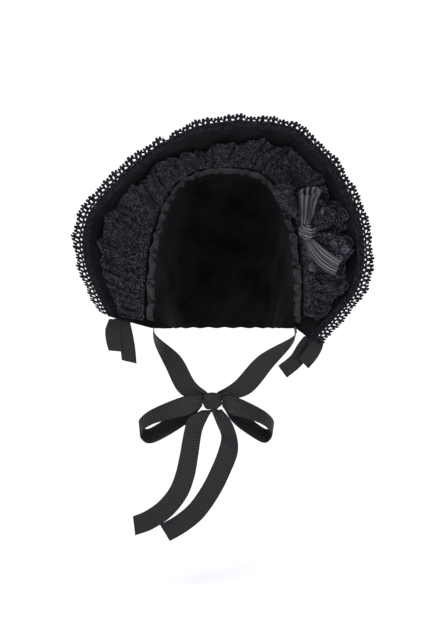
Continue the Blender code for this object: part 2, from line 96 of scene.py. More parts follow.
def run_lengths(chain):
    return np.concatenate([[0], np.cumsum(np.linalg.norm(np.diff(chain, axis=0), axis=1))])


def at_share(chain, share):
    """The points at these shares of a chain's length."""
    run = run_lengths(chain)
    want = np.clip(share, 0, 1) * run[-1]
    return np.stack([np.interp(want, run, chain[:, k]) for k in range(3)], axis=-1)


# %% [markdown]
# ## The shape of the brim
# The brim is a poke: it starts at an arch round the face and flares out to an oval edge that leans forward.
# It could be sculpted by hand, but a rule is better, because the lace, the ruffle and the ribbons all have to
# lie on it. The rule gives a point for u, the way round from the right jaw over the head to the left jaw,
# and v, the way from the face to the outer edge. The sizes are those of the solids, in millimetres.

# %% Opening and outer edge
HEAD_HALF_WIDTH, HEAD_DROP, FOOT_BACK = 84 * MM, 182 * MM, 6 * MM
OPENING_LEAN, OPENING_SQUARENESS = 5.0, 3.0
CROWN_CENTRE_BACK, CROWN_HALF_LENGTH, CROWN_HALF_HEIGHT = 12 * MM, 112 * MM, 97 * MM
NAPE_HALF_WIDTH, NAPE_TURN, CROWN_SQUARENESS_BACK, CROWN_WALL = 62 * MM, 92.0, 2.3, 2 * MM
BRIM_HALF_WIDTH, BRIM_FORWARD, BRIM_RISE, BRIM_HEIGHT = 157 * MM, 93 * MM, 47 * MM, 243 * MM
BRIM_WALL, BRIM_BULGE, BRIM_GAP = 3 * MM, 0.042, 1.2 * MM
EDGE_ROWS = (
    # side, forward, down
    (-0.84, 0.22, 0.88), (-0.90, 0.38, 0.79), (-0.97, 0.52, 0.675), (-1.00, 0.645, 0.555),
    (-0.98, 0.71, 0.46), (-0.91, 0.775, 0.37), (-0.655, 0.88, 0.205), (-0.37, 0.955, 0.075),
    (-0.14, 0.985, 0.02), (0.10, 1.0, 0.0), (0.32, 0.99, 0.01), (0.50, 0.965, 0.045),
    (0.73, 0.90, 0.177), (0.82, 0.85, 0.27), (0.905, 0.795, 0.37), (0.965, 0.72, 0.49),
    (0.98, 0.645, 0.63), (0.935, 0.54, 0.755), (0.83, 0.375, 0.855), (0.64, 0.11, 1.0),
)
EDGE_TOP_ROW = 9
FACE_AXIS = np.array((0, -60 * MM, -95 * MM))


def hood_arch(lean, half_width, squareness, offset):
    """Points of the hood's arch, lean degrees back of upright."""
    a, b = CROWN_HALF_LENGTH + offset, CROWN_HALF_HEIGHT + offset
    dy, dz = math.sin(math.radians(lean)), math.cos(math.radians(lean))
    y0, z0 = FOOT_BACK - CROWN_CENTRE_BACK, CROWN_HALF_HEIGHT - HEAD_DROP
    p = (dy / a) ** 2 + (dz / b) ** 2
    q = y0 * dy / a**2 + z0 * dz / b**2
    r = (y0 / a) ** 2 + (z0 / b) ** 2 - 1
    reach = (-q + math.sqrt(q * q - p * r)) / p
    turn = np.linspace(-math.pi / 2, math.pi / 2, 961)
    up = reach * np.abs(np.cos(turn)) ** (2 / squareness)
    side = half_width * np.sign(turn) * np.abs(np.sin(turn)) ** (2 / squareness)
    return np.stack([side, FOOT_BACK + up * dy, up * dz - HEAD_DROP], axis=-1)


edge_points = [
    (side * BRIM_HALF_WIDTH, -forward * BRIM_FORWARD, BRIM_RISE - down * BRIM_HEIGHT)
    for side, forward, down in EDGE_ROWS
]
edge_right = smooth(edge_points[EDGE_TOP_ROW::-1], 900)
edge_left = smooth(edge_points[EDGE_TOP_ROW:], 900)
opening_arch = hood_arch(-OPENING_LEAN, HEAD_HALF_WIDTH, OPENING_SQUARENESS, CROWN_WALL / 2)
edge_run = run_lengths(edge_right)[-1], run_lengths(edge_left)[-1]
print(
    "edge length in mm:", round(sum(edge_run) * 1000),
    "opening:", round(run_lengths(opening_arch)[-1] * 1000),
)


# %% Points and directions on the brim
def opening(u):
    return at_share(opening_arch, (u + 1) / 2)


def brim_flat(u, v):
    u, v = np.broadcast_arrays(np.asarray(u, float), np.asarray(v, float))
    root = opening(u)
    edge = np.where((u > 0)[..., None], at_share(edge_left, u), at_share(edge_right, -u))
    across = edge - root
    ahead = opening(np.minimum(u + 0.02, 1)) - opening(np.maximum(u - 0.02, -1))
    out = unit(np.cross(ahead, across))
    out = out * np.where(dot(out, root - FACE_AXIS) < 0, -1, 1)[..., None]
    wide = np.linalg.norm(across, axis=-1)
    start = BRIM_GAP / wide
    w = start + (1 - start) * v
    return root + across * w[..., None] + out * (BRIM_BULGE * wide * 4 * w * (1 - w))[..., None]


def brim_frame(u, v):
    """A point of the brim with its directions along the edge, towards the edge, and off its face."""
    step = 0.012
    here = brim_flat(u, v)
    ahead = unit(brim_flat(np.minimum(u + step, 1), v) - brim_flat(np.maximum(u - step, -1), v))
    across = unit(brim_flat(u, v + step) - brim_flat(u, v - step))
    face = unit(np.cross(ahead, across))
    face = face * np.where(dot(face, here - FACE_AXIS) > 0, -1, 1)[..., None]
    return here, ahead, across, face


def brim_at(u, v, lift):
    here, _, _, face = brim_frame(u, v)
    return here + face * np.asarray(lift)[..., None]


def brim_width(u):
    return np.linalg.norm(brim_flat(u, 1.0) - brim_flat(u, 0.0), axis=-1)


print("brim width at the top in mm:", round(float(brim_width(np.array(0.0))) * 1000))

# %% [markdown]
# ## Nodes and colours
# Materials and Geometry Nodes are both trees of nodes. One small function adds a node, sets it and links it.
# Colours are picked as sRGB hex values, the way a paint program shows them, and turned to linear light here.


# %% Node helper
def linear(code):
    parts = [int(code[i:i + 2], 16) / 255 for i in (1, 3, 5)]
    return (*[c / 12.92 if c <= 0.04045 else ((c + 0.055) / 1.055) ** 2.4 for c in parts], 1.0)


def add_node(tree, kind, settings, inputs):
    """Adds a node. Each input is a value, or an output socket of another node to link from."""
    node = tree.nodes.new(kind)
    for name, value in settings.items():
        setattr(node, name, value)
    for key, value in inputs.items():
        if isinstance(value, bpy.types.NodeSocket):
            tree.links.new(value, node.inputs[key])
        else:
            node.inputs[key].default_value = value
    return node


def new_finish(name, **constants):
    material = bpy.data.materials.new(name)
    material.use_nodes = True
    tree = material.node_tree
    shader = next(n for n in tree.nodes if n.type == "BSDF_PRINCIPLED")
    for socket, value in constants.items():
        shader.inputs[socket.replace("_", " ")].default_value = value
    return material, tree, shader


# %% [markdown]
# ## Cotton velvet
# Velvet is woven with a cut pile that stands up like short fur. Seen straight on, light sinks into the pile
# and it looks nearly black; seen at a slant the fibres catch light, which Blender's sheen gives.
# Handling lays the pile over in soft patches, so the colour changes over a few centimetres.
# The pile itself is far finer than a pixel, so its bump is drawn about 1.4 mm coarse to show at all.

# %% Velvet
velvet, tree, shader = new_finish(
    "cotton_velvet", Roughness=0.95, IOR=1.5, Specular_IOR_Level=0.06,
    Sheen_Weight=0.13, Sheen_Roughness=0.4, Sheen_Tint=linear("#8d8894"),
)
spot = add_node(tree, "ShaderNodeTexCoord", {}, {})
crushed = add_node(tree, "ShaderNodeTexNoise", {}, {
    "Vector": spot.outputs["Object"], "Scale": 1 / (38 * MM), "Detail": 4.0, "Roughness": 0.6})
pile = add_node(tree, "ShaderNodeTexNoise", {}, {
    "Vector": spot.outputs["Object"], "Scale": 1 / (1.4 * MM), "Detail": 2.0})
patches = add_node(tree, "ShaderNodeMapRange", {}, {
    "Value": crushed.outputs["Fac"], "From Min": 0.35, "From Max": 0.72})
speckle = add_node(tree, "ShaderNodeMath", {"operation": "MULTIPLY_ADD"}, {
    0: pile.outputs["Fac"], 1: 0.35, 2: patches.outputs["Result"]})
shade = add_node(tree, "ShaderNodeMix", {"data_type": "RGBA"}, {
    0: speckle.outputs[0], 6: linear("#070606"), 7: linear("#1a181b")})
tree.links.new(shade.outputs[2], shader.inputs["Base Color"])
heights = add_node(tree, "ShaderNodeMath", {"operation": "MULTIPLY_ADD"}, {
    0: patches.outputs["Result"], 1: 2.0, 2: pile.outputs["Fac"]})
relief = add_node(tree, "ShaderNodeBump", {}, {
    "Height": heights.outputs[0], "Strength": 0.5, "Distance": 0.35 * MM})
tree.links.new(relief.outputs["Normal"], shader.inputs["Normal"])
print("finish:", velvet.name)

# %% [markdown]
# ## Cotton lace thread
# The laces are made of plied cotton yarn, dyed black. Cotton is duller and a little bluer than the velvet.
# Where stitches cross, the yarn heaps up into small knots. Their colour is painted lighter where they catch
# the light and darker in the gaps between, as painted highlight and shade.
# The knots are about 2 mm apart, and the twist of the yarn is drawn 1 mm long, twice the real one, to show.

# %% Lace thread
KNOT_SPACING, TWIST_LENGTH = 2.1 * MM, 1.0 * MM


def cotton(name, dark, light):
    """Dyed cotton yarn that varies between two shades, with painted highlight on its knots and painted shade
    in the gaps.
    """
    made, tree, shader = new_finish(
        name, Roughness=0.85, IOR=1.5, Specular_IOR_Level=0.12,
        Sheen_Weight=0.06, Sheen_Roughness=0.4, Sheen_Tint=linear("#a4a6b8"),
    )
    spot = add_node(tree, "ShaderNodeTexCoord", {}, {})
    twist = add_node(tree, "ShaderNodeTexWave", {"wave_type": "BANDS", "bands_direction": "DIAGONAL"}, {
        "Vector": spot.outputs["Object"], "Scale": 0.31 / TWIST_LENGTH, "Distortion": 3.0, "Detail": 2.0})
    knots = add_node(tree, "ShaderNodeTexVoronoi", {"feature": "F1"}, {
        "Vector": spot.outputs["Object"], "Scale": 1 / KNOT_SPACING, "Randomness": 0.7})
    knot_height_and_light = add_node(tree, "ShaderNodeMapRange", {}, {
        "Value": knots.outputs["Distance"], "From Min": 0.64, "From Max": 0.18})
    faded = add_node(tree, "ShaderNodeTexNoise", {}, {
        "Vector": spot.outputs["Object"], "Scale": 1 / (9 * MM), "Detail": 3.0})
    mixed = add_node(tree, "ShaderNodeMath", {"operation": "MULTIPLY_ADD"}, {
        0: twist.outputs["Fac"], 1: 0.25, 2: faded.outputs["Fac"]})
    dye = add_node(tree, "ShaderNodeMapRange", {}, {
        "Value": mixed.outputs[0], "From Min": 0.35, "From Max": 0.85, "To Min": 0.18})
    # Painted highlight and shade: the knots are coloured lighter and the gaps between them darker; the same
    # mask also raises the knots in the bump.
    lit = add_node(tree, "ShaderNodeMath", {"operation": "MULTIPLY"}, {
        0: dye.outputs["Result"], 1: knot_height_and_light.outputs["Result"]})
    shade = add_node(tree, "ShaderNodeMix", {"data_type": "RGBA"}, {
        0: lit.outputs[0], 6: linear(dark), 7: linear(light)})
    tree.links.new(shade.outputs[2], shader.inputs["Base Color"])
    heights = add_node(tree, "ShaderNodeMath", {"operation": "MULTIPLY_ADD"}, {
        0: twist.outputs["Fac"], 1: 0.3, 2: knot_height_and_light.outputs["Result"]})
    relief = add_node(tree, "ShaderNodeBump", {}, {
        "Height": heights.outputs[0], "Strength": 0.8, "Distance": 0.5 * MM})
    tree.links.new(relief.outputs["Normal"], shader.inputs["Normal"])
    return made


lace = cotton("cotton_lace", "#060608", "#5e5e6c")
edge_cotton = cotton("edge_cotton_lace", "#060607", "#33333c")
# Painted highlight: the rosettes' heavy thread is a lighter copy of the cotton finish, for the light it
# catches.
highlighted_thread = cotton("heavy_cotton_thread_painted_highlight", "#4c4c56", "#96949f")
print("finishes:", lace.name, edge_cotton.name, highlighted_thread.name)

# %% [markdown]
# ## Corded satin ribbon
# The bow and the narrow ruche are satin ribbon with fine cords woven along it. Long smooth threads on its
# face make it shine in streaks; the streaks are painted into its colour, as painted highlight along each cord
# and painted shade between. The pattern follows the ribbon's own UV map, which is in metres, so the cords
# keep their 2.7 mm spacing round every fold.

# %% Satin
CORD = 2.7 * MM


def corded(name, dark, light):
    """Satin with woven cords, its colour running from the painted shade between them to the painted highlight
    on top, with painted sheen streaks.
    """
    made, tree, shader = new_finish(name, IOR=1.5, Specular_IOR_Level=0.3)
    flat = add_node(tree, "ShaderNodeUVMap", {"uv_map": "cloth"}, {})
    cords = add_node(tree, "ShaderNodeTexWave", {"wave_type": "BANDS", "bands_direction": "X"}, {
        "Vector": flat.outputs["UV"], "Scale": 0.314 / CORD, "Distortion": 1.6, "Detail": 1.0,
        "Detail Scale": 0.5})
    streaks = add_node(tree, "ShaderNodeMapping", {}, {
        "Vector": flat.outputs["UV"], "Scale": (1 / (2 * MM), 1 / (26 * MM), 1.0)})
    sheen_lines = add_node(tree, "ShaderNodeTexNoise", {}, {
        "Vector": streaks.outputs["Vector"], "Scale": 1.0, "Detail": 3.0})
    # Painted highlight and shade: the cords' tops and the sheen streaks lighten the colour, and the gaps
    # between cords are painted dark.
    cord_highlights = add_node(tree, "ShaderNodeMath", {"operation": "POWER"}, {0: cords.outputs["Fac"], 1: 1.6})
    mixed = add_node(tree, "ShaderNodeMath", {"operation": "MULTIPLY"}, {
        0: cord_highlights.outputs[0], 1: sheen_lines.outputs["Fac"]})
    shade = add_node(tree, "ShaderNodeMix", {"data_type": "RGBA"}, {
        0: mixed.outputs[0], 6: linear(dark), 7: linear(light)})
    tree.links.new(shade.outputs[2], shader.inputs["Base Color"])
    gloss = add_node(tree, "ShaderNodeMapRange", {}, {
        "Value": sheen_lines.outputs["Fac"], "To Min": 0.28, "To Max": 0.5})
    tree.links.new(gloss.outputs["Result"], shader.inputs["Roughness"])
    relief = add_node(tree, "ShaderNodeBump", {}, {
        "Height": cords.outputs["Fac"], "Strength": 0.9, "Distance": 0.5 * MM})
    tree.links.new(relief.outputs["Normal"], shader.inputs["Normal"])
    return made


satin = corded("corded_satin", "#050506", "#88868f")
# Painted shade: the ruche's satin is a darker copy of the bow's satin.
shaded_satin = corded("gathered_corded_satin_painted_shade", "#040405", "#403f46")
print("finishes:", satin.name, shaded_satin.name)

# %% [markdown]
# ## Grosgrain ribbon
# Grosgrain is a plain ribbon woven with thick cross threads, so it has fine ribs from edge to edge and a
# dull shine. Real ribs are about 0.8 mm apart, under one pixel, so they are drawn 2.2 mm apart.
# The ribs are also real ripples in the ribbon's mesh; the nodes paint shade into the grooves' colour and add
# the fine yarns.

# %% Grosgrain
RIB = 2.2 * MM
grosgrain, tree, shader = new_finish("ribbed_grosgrain", IOR=1.5, Specular_IOR_Level=0.2)
flat = add_node(tree, "ShaderNodeUVMap", {"uv_map": "cloth"}, {})
ribs = add_node(tree, "ShaderNodeTexWave", {"wave_type": "BANDS", "bands_direction": "Y"}, {
    "Vector": flat.outputs["UV"], "Scale": 0.314 / RIB, "Distortion": 0.25, "Detail": 1.0})
yarns = add_node(tree, "ShaderNodeMapping", {}, {
    "Vector": flat.outputs["UV"], "Scale": (1 / (0.5 * MM), 1 / (6 * MM), 1.0)})
fibres = add_node(tree, "ShaderNodeTexNoise", {}, {"Vector": yarns.outputs["Vector"], "Scale": 1.0})
mixed = add_node(tree, "ShaderNodeMath", {"operation": "MULTIPLY_ADD"}, {
    0: fibres.outputs["Fac"], 1: 0.5, 2: ribs.outputs["Fac"]})
yarns_and_groove_shade = add_node(tree, "ShaderNodeMapRange", {}, {
    "Value": mixed.outputs[0], "From Min": 0.2, "From Max": 1.3})
# Painted shade: the colour darkens in the grooves between the ribs, and the yarns vary it at random.
shade = add_node(tree, "ShaderNodeMix", {"data_type": "RGBA"}, {
    0: yarns_and_groove_shade.outputs["Result"], 6: linear("#030203"), 7: linear("#29262a")})
tree.links.new(shade.outputs[2], shader.inputs["Base Color"])
gloss = add_node(tree, "ShaderNodeMapRange", {}, {
    "Value": ribs.outputs["Fac"], "To Min": 0.68, "To Max": 0.48})
tree.links.new(gloss.outputs["Result"], shader.inputs["Roughness"])
relief = add_node(tree, "ShaderNodeBump", {}, {
    "Height": mixed.outputs[0], "Strength": 0.5, "Distance": 0.2 * MM})
tree.links.new(relief.outputs["Normal"], shader.inputs["Normal"])
print("finish:", grosgrain.name)

# %% [markdown]
# ## Making cloth from a grid of points
# Every piece of cloth is a grid of points with a UV map in metres and a wall of its own thickness.
# Solidify could be left out for thin cloth, but an open sheet has no edge to catch light and no back.


# %% Cloth helper
def new_object(name, mesh):
    piece = bpy.data.objects.new(name, mesh)
    bpy.context.scene.collection.objects.link(piece)
    mesh.shade_smooth()
    return piece


def walled(name, mesh, wall):
    piece = new_object(name, mesh)
    shell = piece.modifiers.new("wall", "SOLIDIFY")
    shell.thickness, shell.offset = wall, 0.0
    return piece


def grid_faces(rows, columns, span):
    """Row and column of each four-sided face, and its corners. A loop's span is all its columns."""
    i, j = [k.ravel() for k in np.meshgrid(np.arange(rows - 1), np.arange(span), indexing="ij")]
    k = (j + 1) % columns
    corners = [i * columns + j, i * columns + k, (i + 1) * columns + k, (i + 1) * columns + j]
    return i, j, np.stack(corners, axis=-1).tolist()


def cloth(name, grid, finish, wall, uv=None, around=False):
    """A sheet with a wall. Its UV map holds metres across and along, unless uv gives its own."""
    rows, columns = grid.shape[:2]
    if uv is None:
        side, down = run_lengths(grid[rows // 2]), run_lengths(grid[:, columns // 2])
        uv = np.stack(np.broadcast_arrays(side[None, :], down[:, None]), axis=-1)
    i, j, faces = grid_faces(rows, columns, columns if around else columns - 1)
    corners = np.stack([uv[i, j], uv[i, j + 1], uv[i + 1, j + 1], uv[i + 1, j]], axis=1)
    mesh = bpy.data.meshes.new(name)
    mesh.from_pydata(grid.reshape(-1, 3).tolist(), [], faces)
    mesh.uv_layers.new(name="cloth").data.foreach_set("uv", corners.astype(np.float32).ravel())
    mesh.materials.append(finish)
    return walled(name, mesh, wall)


def dress(piece, nodes):
    """Ties a finished piece to the frame."""
    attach(piece, "root")
    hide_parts(*nodes)
    print(piece.name, "faces", len(piece.data.polygons))
    return piece


def soft_noise(x, y, seed, waves=7, size=1.0):
    """A smooth uneven height between about -1 and 1, the same on every run."""
    rng = np.random.default_rng(seed)
    total = np.zeros(np.broadcast(x, y).shape)
    for _ in range(waves):
        angle, speed, phase = rng.uniform(0, math.tau), rng.uniform(0.5, 1.6) / size, rng.uniform(0, math.tau)
        total = total + np.sin((x * math.cos(angle) + y * math.sin(angle)) * speed * math.tau + phase)
    return total / math.sqrt(waves)


# %% [markdown]
# ## The brim
# The real brim is stiffened card between two layers of velvet, turned over a firm edge.
# A plain Solidify gives it sharp square rims. Here each section is drawn as one closed loop with a round
# outer edge, and the velvet puckers slightly towards the edge where it is pulled over the card.

# %% Brim
around, across_count, turns = 280, 26, 7
u = np.linspace(-1, 1, around + 1)[:, None]
v = 1 - np.linspace(1, 0, across_count + 1)[None, :] ** 1.25
half = BRIM_WALL / 2
pucker = soft_noise(u * 0.62, v * 0.1, seed=3, size=0.016) * 0.35 * MM * np.clip(v * 1.6 - 0.5, 0, 1)
crease = soft_noise(u * 0.6, v * 0.10, seed=8, size=0.05) * 0.5 * MM * np.sin(np.pi * v) ** 0.5
front = brim_at(u, v, half - 0.1 * MM + pucker + crease * 0.6)
back = brim_at(u, v, -half - pucker * 0.6 + crease * 0.6)[:, ::-1]


def rolled(v_end, way, ends):
    """Points that turn round the brim's edge from its face to its back."""
    across = brim_frame(u[:, 0], v_end)[2]
    turn = np.linspace(0, np.pi, turns + 2)[None, 1:-1, None]
    start, stop = ends
    middle, side = (start + stop)[:, None] / 2, (start - stop)[:, None] / 2
    return middle + side * np.cos(turn) + (across * half * way)[:, None] * np.sin(turn)


outer = rolled(1.0, 1, (front[:, -1], back[:, 0]))
inner = rolled(0.0, -0.5, (back[:, -1], front[:, 0]))
loop = np.concatenate([front, outer, back, inner], axis=1)
rows, columns = loop.shape[:2]
side = np.arange(columns)
faces = grid_faces(rows, columns, columns)[2]
faces += [list(side[::-1]), list((rows - 1) * columns + side)]
mesh = bpy.data.meshes.new("brim_velvet")
mesh.from_pydata(loop.reshape(-1, 3).tolist(), [], faces)
mesh.materials.append(velvet)
brim = dress(new_object("brim_velvet", mesh), ["brim"])

# %% [markdown]
# Whether a closed mesh faces outwards is told by its volume: it comes out negative if the mesh is inside out.


# %% Outward faces
import bmesh


def face_outwards(piece):
    bm = bmesh.new()
    bm.from_mesh(piece.data)
    if bm.calc_volume(signed=True) < 0:
        bmesh.ops.reverse_faces(bm, faces=bm.faces)
    print(piece.name, "volume in cm3:", round(abs(bm.calc_volume()) * 1e6, 1))
    bm.to_mesh(piece.data)
    bm.free()


face_outwards(brim)

# %% [markdown]
# ## The hood
# Behind the brim a soft velvet hood covers the head down to the nape, where it is drawn in.
# The photo doesn't show it, so it is plain: one shell through a row of arches, with the shallow lengthwise
# creases that drawn-in velvet has. Each arch is the opening's, turned back a little further than the last.

# %% Hood
leans, steps = 60, 160
t = np.linspace(0, 1, leans + 1)
ease = t * t * (3 - 2 * t)
rows = []
for k in range(leans + 1):
    arch = hood_arch(
        -OPENING_LEAN + (NAPE_TURN + OPENING_LEAN) * t[k],
        HEAD_HALF_WIDTH + (NAPE_HALF_WIDTH - HEAD_HALF_WIDTH) * ease[k],
        OPENING_SQUARENESS + (CROWN_SQUARENESS_BACK - OPENING_SQUARENESS) * ease[k],
        CROWN_WALL / 2,
    )
    rows.append(at_share(arch, np.linspace(0, 1, steps + 1)))
grid = np.array(rows)
away = unit(np.cross(np.gradient(grid, axis=1), np.gradient(grid, axis=0)))
away = away * np.where(dot(away, grid - np.array((0, 0.03, -0.1))) < 0, -1, 1)[..., None]
fold = np.sin(np.linspace(-1, 1, steps + 1)[None, :] * 31 + 2 * np.sin(t[:, None] * 5))
crease = fold * (0.15 + 0.55 * t[:, None] ** 2) * MM
sag = soft_noise(grid[..., 0], grid[..., 1] + grid[..., 2], seed=5, size=0.06) * 0.6 * MM
sag = sag * np.sin(np.pi * t)[:, None]
hood = cloth("crown_velvet", grid + away * (crease + sag)[..., None], velvet, CROWN_WALL)
dress(hood, ["crown"])

# %% [markdown]
# ## Edge lace: one repeat
# The brim is edged with a thread lace: a firm heading on the velvet, two rows of open holes between thick
# bars, and a rim in low fans that carries picots, which are small loops of thread. A lace texture on a flat
# strip would be quicker, but then the holes and the picots would vanish from the side. So one repeat is
# drawn as lines, in millimetres, to be thickened later.

# %% Lines of one lace repeat
LACE_HEADING, LACE_BAND, LACE_WIDTH, LACE_TURN = 6.5, 2.5, 15.5, math.radians(34)
THREAD, PICOT, BAR_WIDTH, FAN_RISE = 1.0, 0.75, 1.0, 2.7
SEWN_THREAD, FIRST_RAIL, SECOND_RAIL, RIM, PICOT_ROW = -6.2, 1.4, 5.4, 9.1, 11.1
LACE_PITCH, LACE_REACH, SECOND_RISE, BARS, PICOTS = 11.6, 0.995, 0.3, 2, 3
REPEATS = round(sum(edge_run) / (LACE_PITCH * MM))
PITCH = sum(edge_run) / REPEATS / MM


def arc(centre, radius, start, stop, count, squash=1.0):
    turn = np.radians(np.linspace(start, stop, count + 1))
    return [(centre[0] + radius * math.cos(a), centre[1] + radius * squash * math.sin(a)) for a in turn]


def scallop(x):
    """Height of a fan's outline over the straight lace."""
    return FAN_RISE * abs(math.sin(math.pi * x / PITCH)) ** 0.8


def along(level, rise, count):
    """A thread that follows the fans' outline by a share of its height."""
    return [(x, level + rise * scallop(x)) for x in np.linspace(0, PITCH, count + 1)]


def on_second_rail(x):
    return x, SECOND_RAIL + SECOND_RISE * scallop(x)


lines = [along(SEWN_THREAD, 0, 6), along(FIRST_RAIL, 0, 6)]
lines += [along(SECOND_RAIL, SECOND_RISE, 12), along(RIM, 1.0, 12)]
for k in range(BARS):
    for side in (-BAR_WIDTH, 0.0, BAR_WIDTH):
        low, high = PITCH * (k + 0.55) / BARS, PITCH * (k + 0.08) / BARS
        lines.append([(low + side, FIRST_RAIL), on_second_rail(low + side)])
        if high + side > 0:
            lines.append([on_second_rail(high + side), (high + 1.3 * side + 0.4, RIM + scallop(high))])
for k in range(PICOTS):
    x = PITCH * (k + 0.5) / PICOTS
    lines.append(arc((x, PICOT_ROW + scallop(x)), PICOT, -90, 270, 6, 1.4))
drawn = sum(math.dist(p, q) for line in lines for p, q in zip(line, line[1:]))
print("repeats", REPEATS, "pitch in mm", round(PITCH, 2), "thread in each in mm", round(drawn))

# %% [markdown]
# Geometry Nodes repeats the drawn lines along a row and gives them thickness: instances on a line of points,
# made real, welded where they meet, turned to curves and swept with a small circle.
# An Array modifier could repeat the lines, but the nodes also make the thread, and the sizes stay inputs.


# %% Lace thread nodes
def end_tree(tree, geometry, finish):
    """Makes instances real, gives them their finish and ends the tree."""
    solid = add_node(tree, "GeometryNodeRealizeInstances", {}, {"Geometry": geometry})
    dyed = add_node(tree, "GeometryNodeSetMaterial", {}, {
        "Geometry": solid.outputs["Geometry"], "Material": finish})
    add_node(tree, "NodeGroupOutput", {}, {"Geometry": dyed.outputs["Geometry"]})
    return tree


def new_tree(name, sizes):
    tree = bpy.data.node_groups.new(name, "GeometryNodeTree")
    tree.interface.new_socket("Geometry", in_out="INPUT", socket_type="NodeSocketGeometry")
    for label, kind, value in sizes:
        tree.interface.new_socket(label, in_out="INPUT", socket_type=kind).default_value = value
    tree.interface.new_socket("Geometry", in_out="OUTPUT", socket_type="NodeSocketGeometry")
    return tree, add_node(tree, "NodeGroupInput", {}, {})


tree, given = new_tree("repeat_threads", [
    ("Repeats", "NodeSocketInt", 10), ("Pitch", "NodeSocketFloat", 0.012),
    ("Thread Radius", "NodeSocketFloat", 0.0005),
])
step = add_node(tree, "ShaderNodeCombineXYZ", {}, {"X": given.outputs["Pitch"]})
row = add_node(tree, "GeometryNodeMeshLine", {"mode": "OFFSET"}, {
    "Count": given.outputs["Repeats"], "Offset": step.outputs["Vector"]})
copies = add_node(tree, "GeometryNodeInstanceOnPoints", {}, {
    "Points": row.outputs["Mesh"], "Instance": given.outputs["Geometry"]})
real = add_node(tree, "GeometryNodeRealizeInstances", {}, {"Geometry": copies.outputs["Instances"]})
welded = add_node(tree, "GeometryNodeMergeByDistance", {}, {
    "Geometry": real.outputs["Geometry"], "Distance": 0.00005})
paths = add_node(tree, "GeometryNodeMeshToCurve", {}, {"Mesh": welded.outputs["Geometry"]})
ring = add_node(tree, "GeometryNodeCurvePrimitiveCircle", {}, {
    "Resolution": 5, "Radius": given.outputs["Thread Radius"]})
thread = add_node(tree, "GeometryNodeCurveToMesh", {}, {
    "Curve": paths.outputs["Curve"], "Profile Curve": ring.outputs["Curve"], "Fill Caps": True})
repeat_threads = end_tree(tree, thread.outputs["Mesh"], edge_cotton)


# %% Run a tree on a mesh
def grow(name, mesh, tree, sizes):
    """The plain mesh that a node tree makes from a starting mesh."""
    maker = bpy.data.objects.new(name, mesh)
    bpy.context.scene.collection.objects.link(maker)
    made = maker.modifiers.new("nodes", "NODES")
    made.node_group = tree
    for item in tree.interface.items_tree:
        if item.item_type == "SOCKET" and item.in_out == "INPUT" and item.name in sizes:
            made[item.identifier] = sizes[item.name]
    seen = maker.evaluated_get(bpy.context.evaluated_depsgraph_get())
    result = bpy.data.meshes.new_from_object(seen)
    maker.modifiers.remove(made)
    bpy.data.objects.remove(maker)
    result.name = name
    return result


def line_mesh(name, drawn):
    """A mesh of edges from lines drawn in millimetres."""
    points, edges = [], []
    for line in drawn:
        first = len(points)
        points += [(x * MM, y * MM, 0.0) for x, y in line]
        edges += [(first + k, first + k + 1) for k in range(len(line) - 1)]
    mesh = bpy.data.meshes.new(name)
    mesh.from_pydata(points, edges, [])
    return mesh


def coordinates(mesh):
    found = np.zeros(len(mesh.vertices) * 3, np.float32)
    mesh.vertices.foreach_get("co", found)
    return found.reshape(-1, 3).astype(float)


def set_coordinates(mesh, points):
    mesh.vertices.foreach_set("co", points.astype(np.float32).ravel())


edge_mesh = grow("edge_lace", line_mesh("edge_lace_lines", lines), repeat_threads, {
    "Repeats": REPEATS, "Pitch": PITCH * MM, "Thread Radius": THREAD * MM})
print("flat lace: vertices", len(edge_mesh.vertices), "faces", len(edge_mesh.polygons))

# %% [markdown]
# The flat lace is now bent round the brim. Its heading lies on the velvet and the rest stands out past the
# edge, turned a little outwards. Hand-sewn lace is never even: it is eased in more at the top and fuller at
# the sides, single fans turn up or down, and over the right temple its two ends meet in a narrow gap.
# The lace's heading is a firm woven band, made as a strip of its own on the same line.


# %% Bend the lace round the edge
def edge_turn(run):
    """u of a place on the edge, from its length along the edge."""
    right, left = edge_run
    return np.where(run < right, (run - right) / right, (run - right) / left)


flat_points = coordinates(edge_mesh)
u = edge_turn(flat_points[:, 0]) * LACE_REACH
t = flat_points[:, 1]
rng = np.random.default_rng(11)
fan = np.clip((flat_points[:, 0] / (PITCH * MM)).astype(int), 0, REPEATS - 1)
fan_size, fan_tilt = rng.uniform(0.88, 1.07, REPEATS)[fan], rng.uniform(-1, 1, REPEATS)[fan]
full = 0.93 + 0.09 * np.cos((u + 0.78) * 2.6) + 0.08 * np.exp(-((u - 0.75) / 0.25) ** 2)
gap = 1 - 0.75 * np.exp(-((u + 0.245) / 0.013) ** 2)
rest = (BRIM_WALL + 1.2 * MM) / 2 + 0.25 * MM


def lace_place(u, t, height, full, ripple, lean):
    """Where a place of the flat lace comes to lie: t is its distance beyond the brim's edge."""
    here, ahead, across, face = brim_frame(u, 1.0)
    past = np.clip(t - LACE_BAND * MM, 0, None) * full
    share = np.clip(past / (LACE_WIDTH * MM), 0, 1)
    outwards = across * math.cos(LACE_TURN) - face * math.sin(LACE_TURN)
    bend = np.clip(t, 0, LACE_BAND * MM)
    beyond = here + across * bend[..., None] + outwards * past[..., None] + ahead * (lean * share)[..., None]
    beyond = beyond + face * (rest + height + ripple * share)[..., None]
    over = brim_at(u, 1 + np.clip(t, None, 0) / brim_width(u), rest + height)
    return np.where((t < 0)[..., None], over, beyond)


ripple = np.sin(u * 55) * 1.5 * MM + np.sin(u * 23 + 1) * 1.2 * MM + fan_tilt * 1.2 * MM
lean = np.sin(u * 71 + 2) * 1.3 * MM
bent = lace_place(u, t, flat_points[:, 2], full * fan_size * gap, ripple, lean)
set_coordinates(edge_mesh, bent)
edge_lace = dress(new_object("edge_lace_threads", edge_mesh), ["edge_lace"])

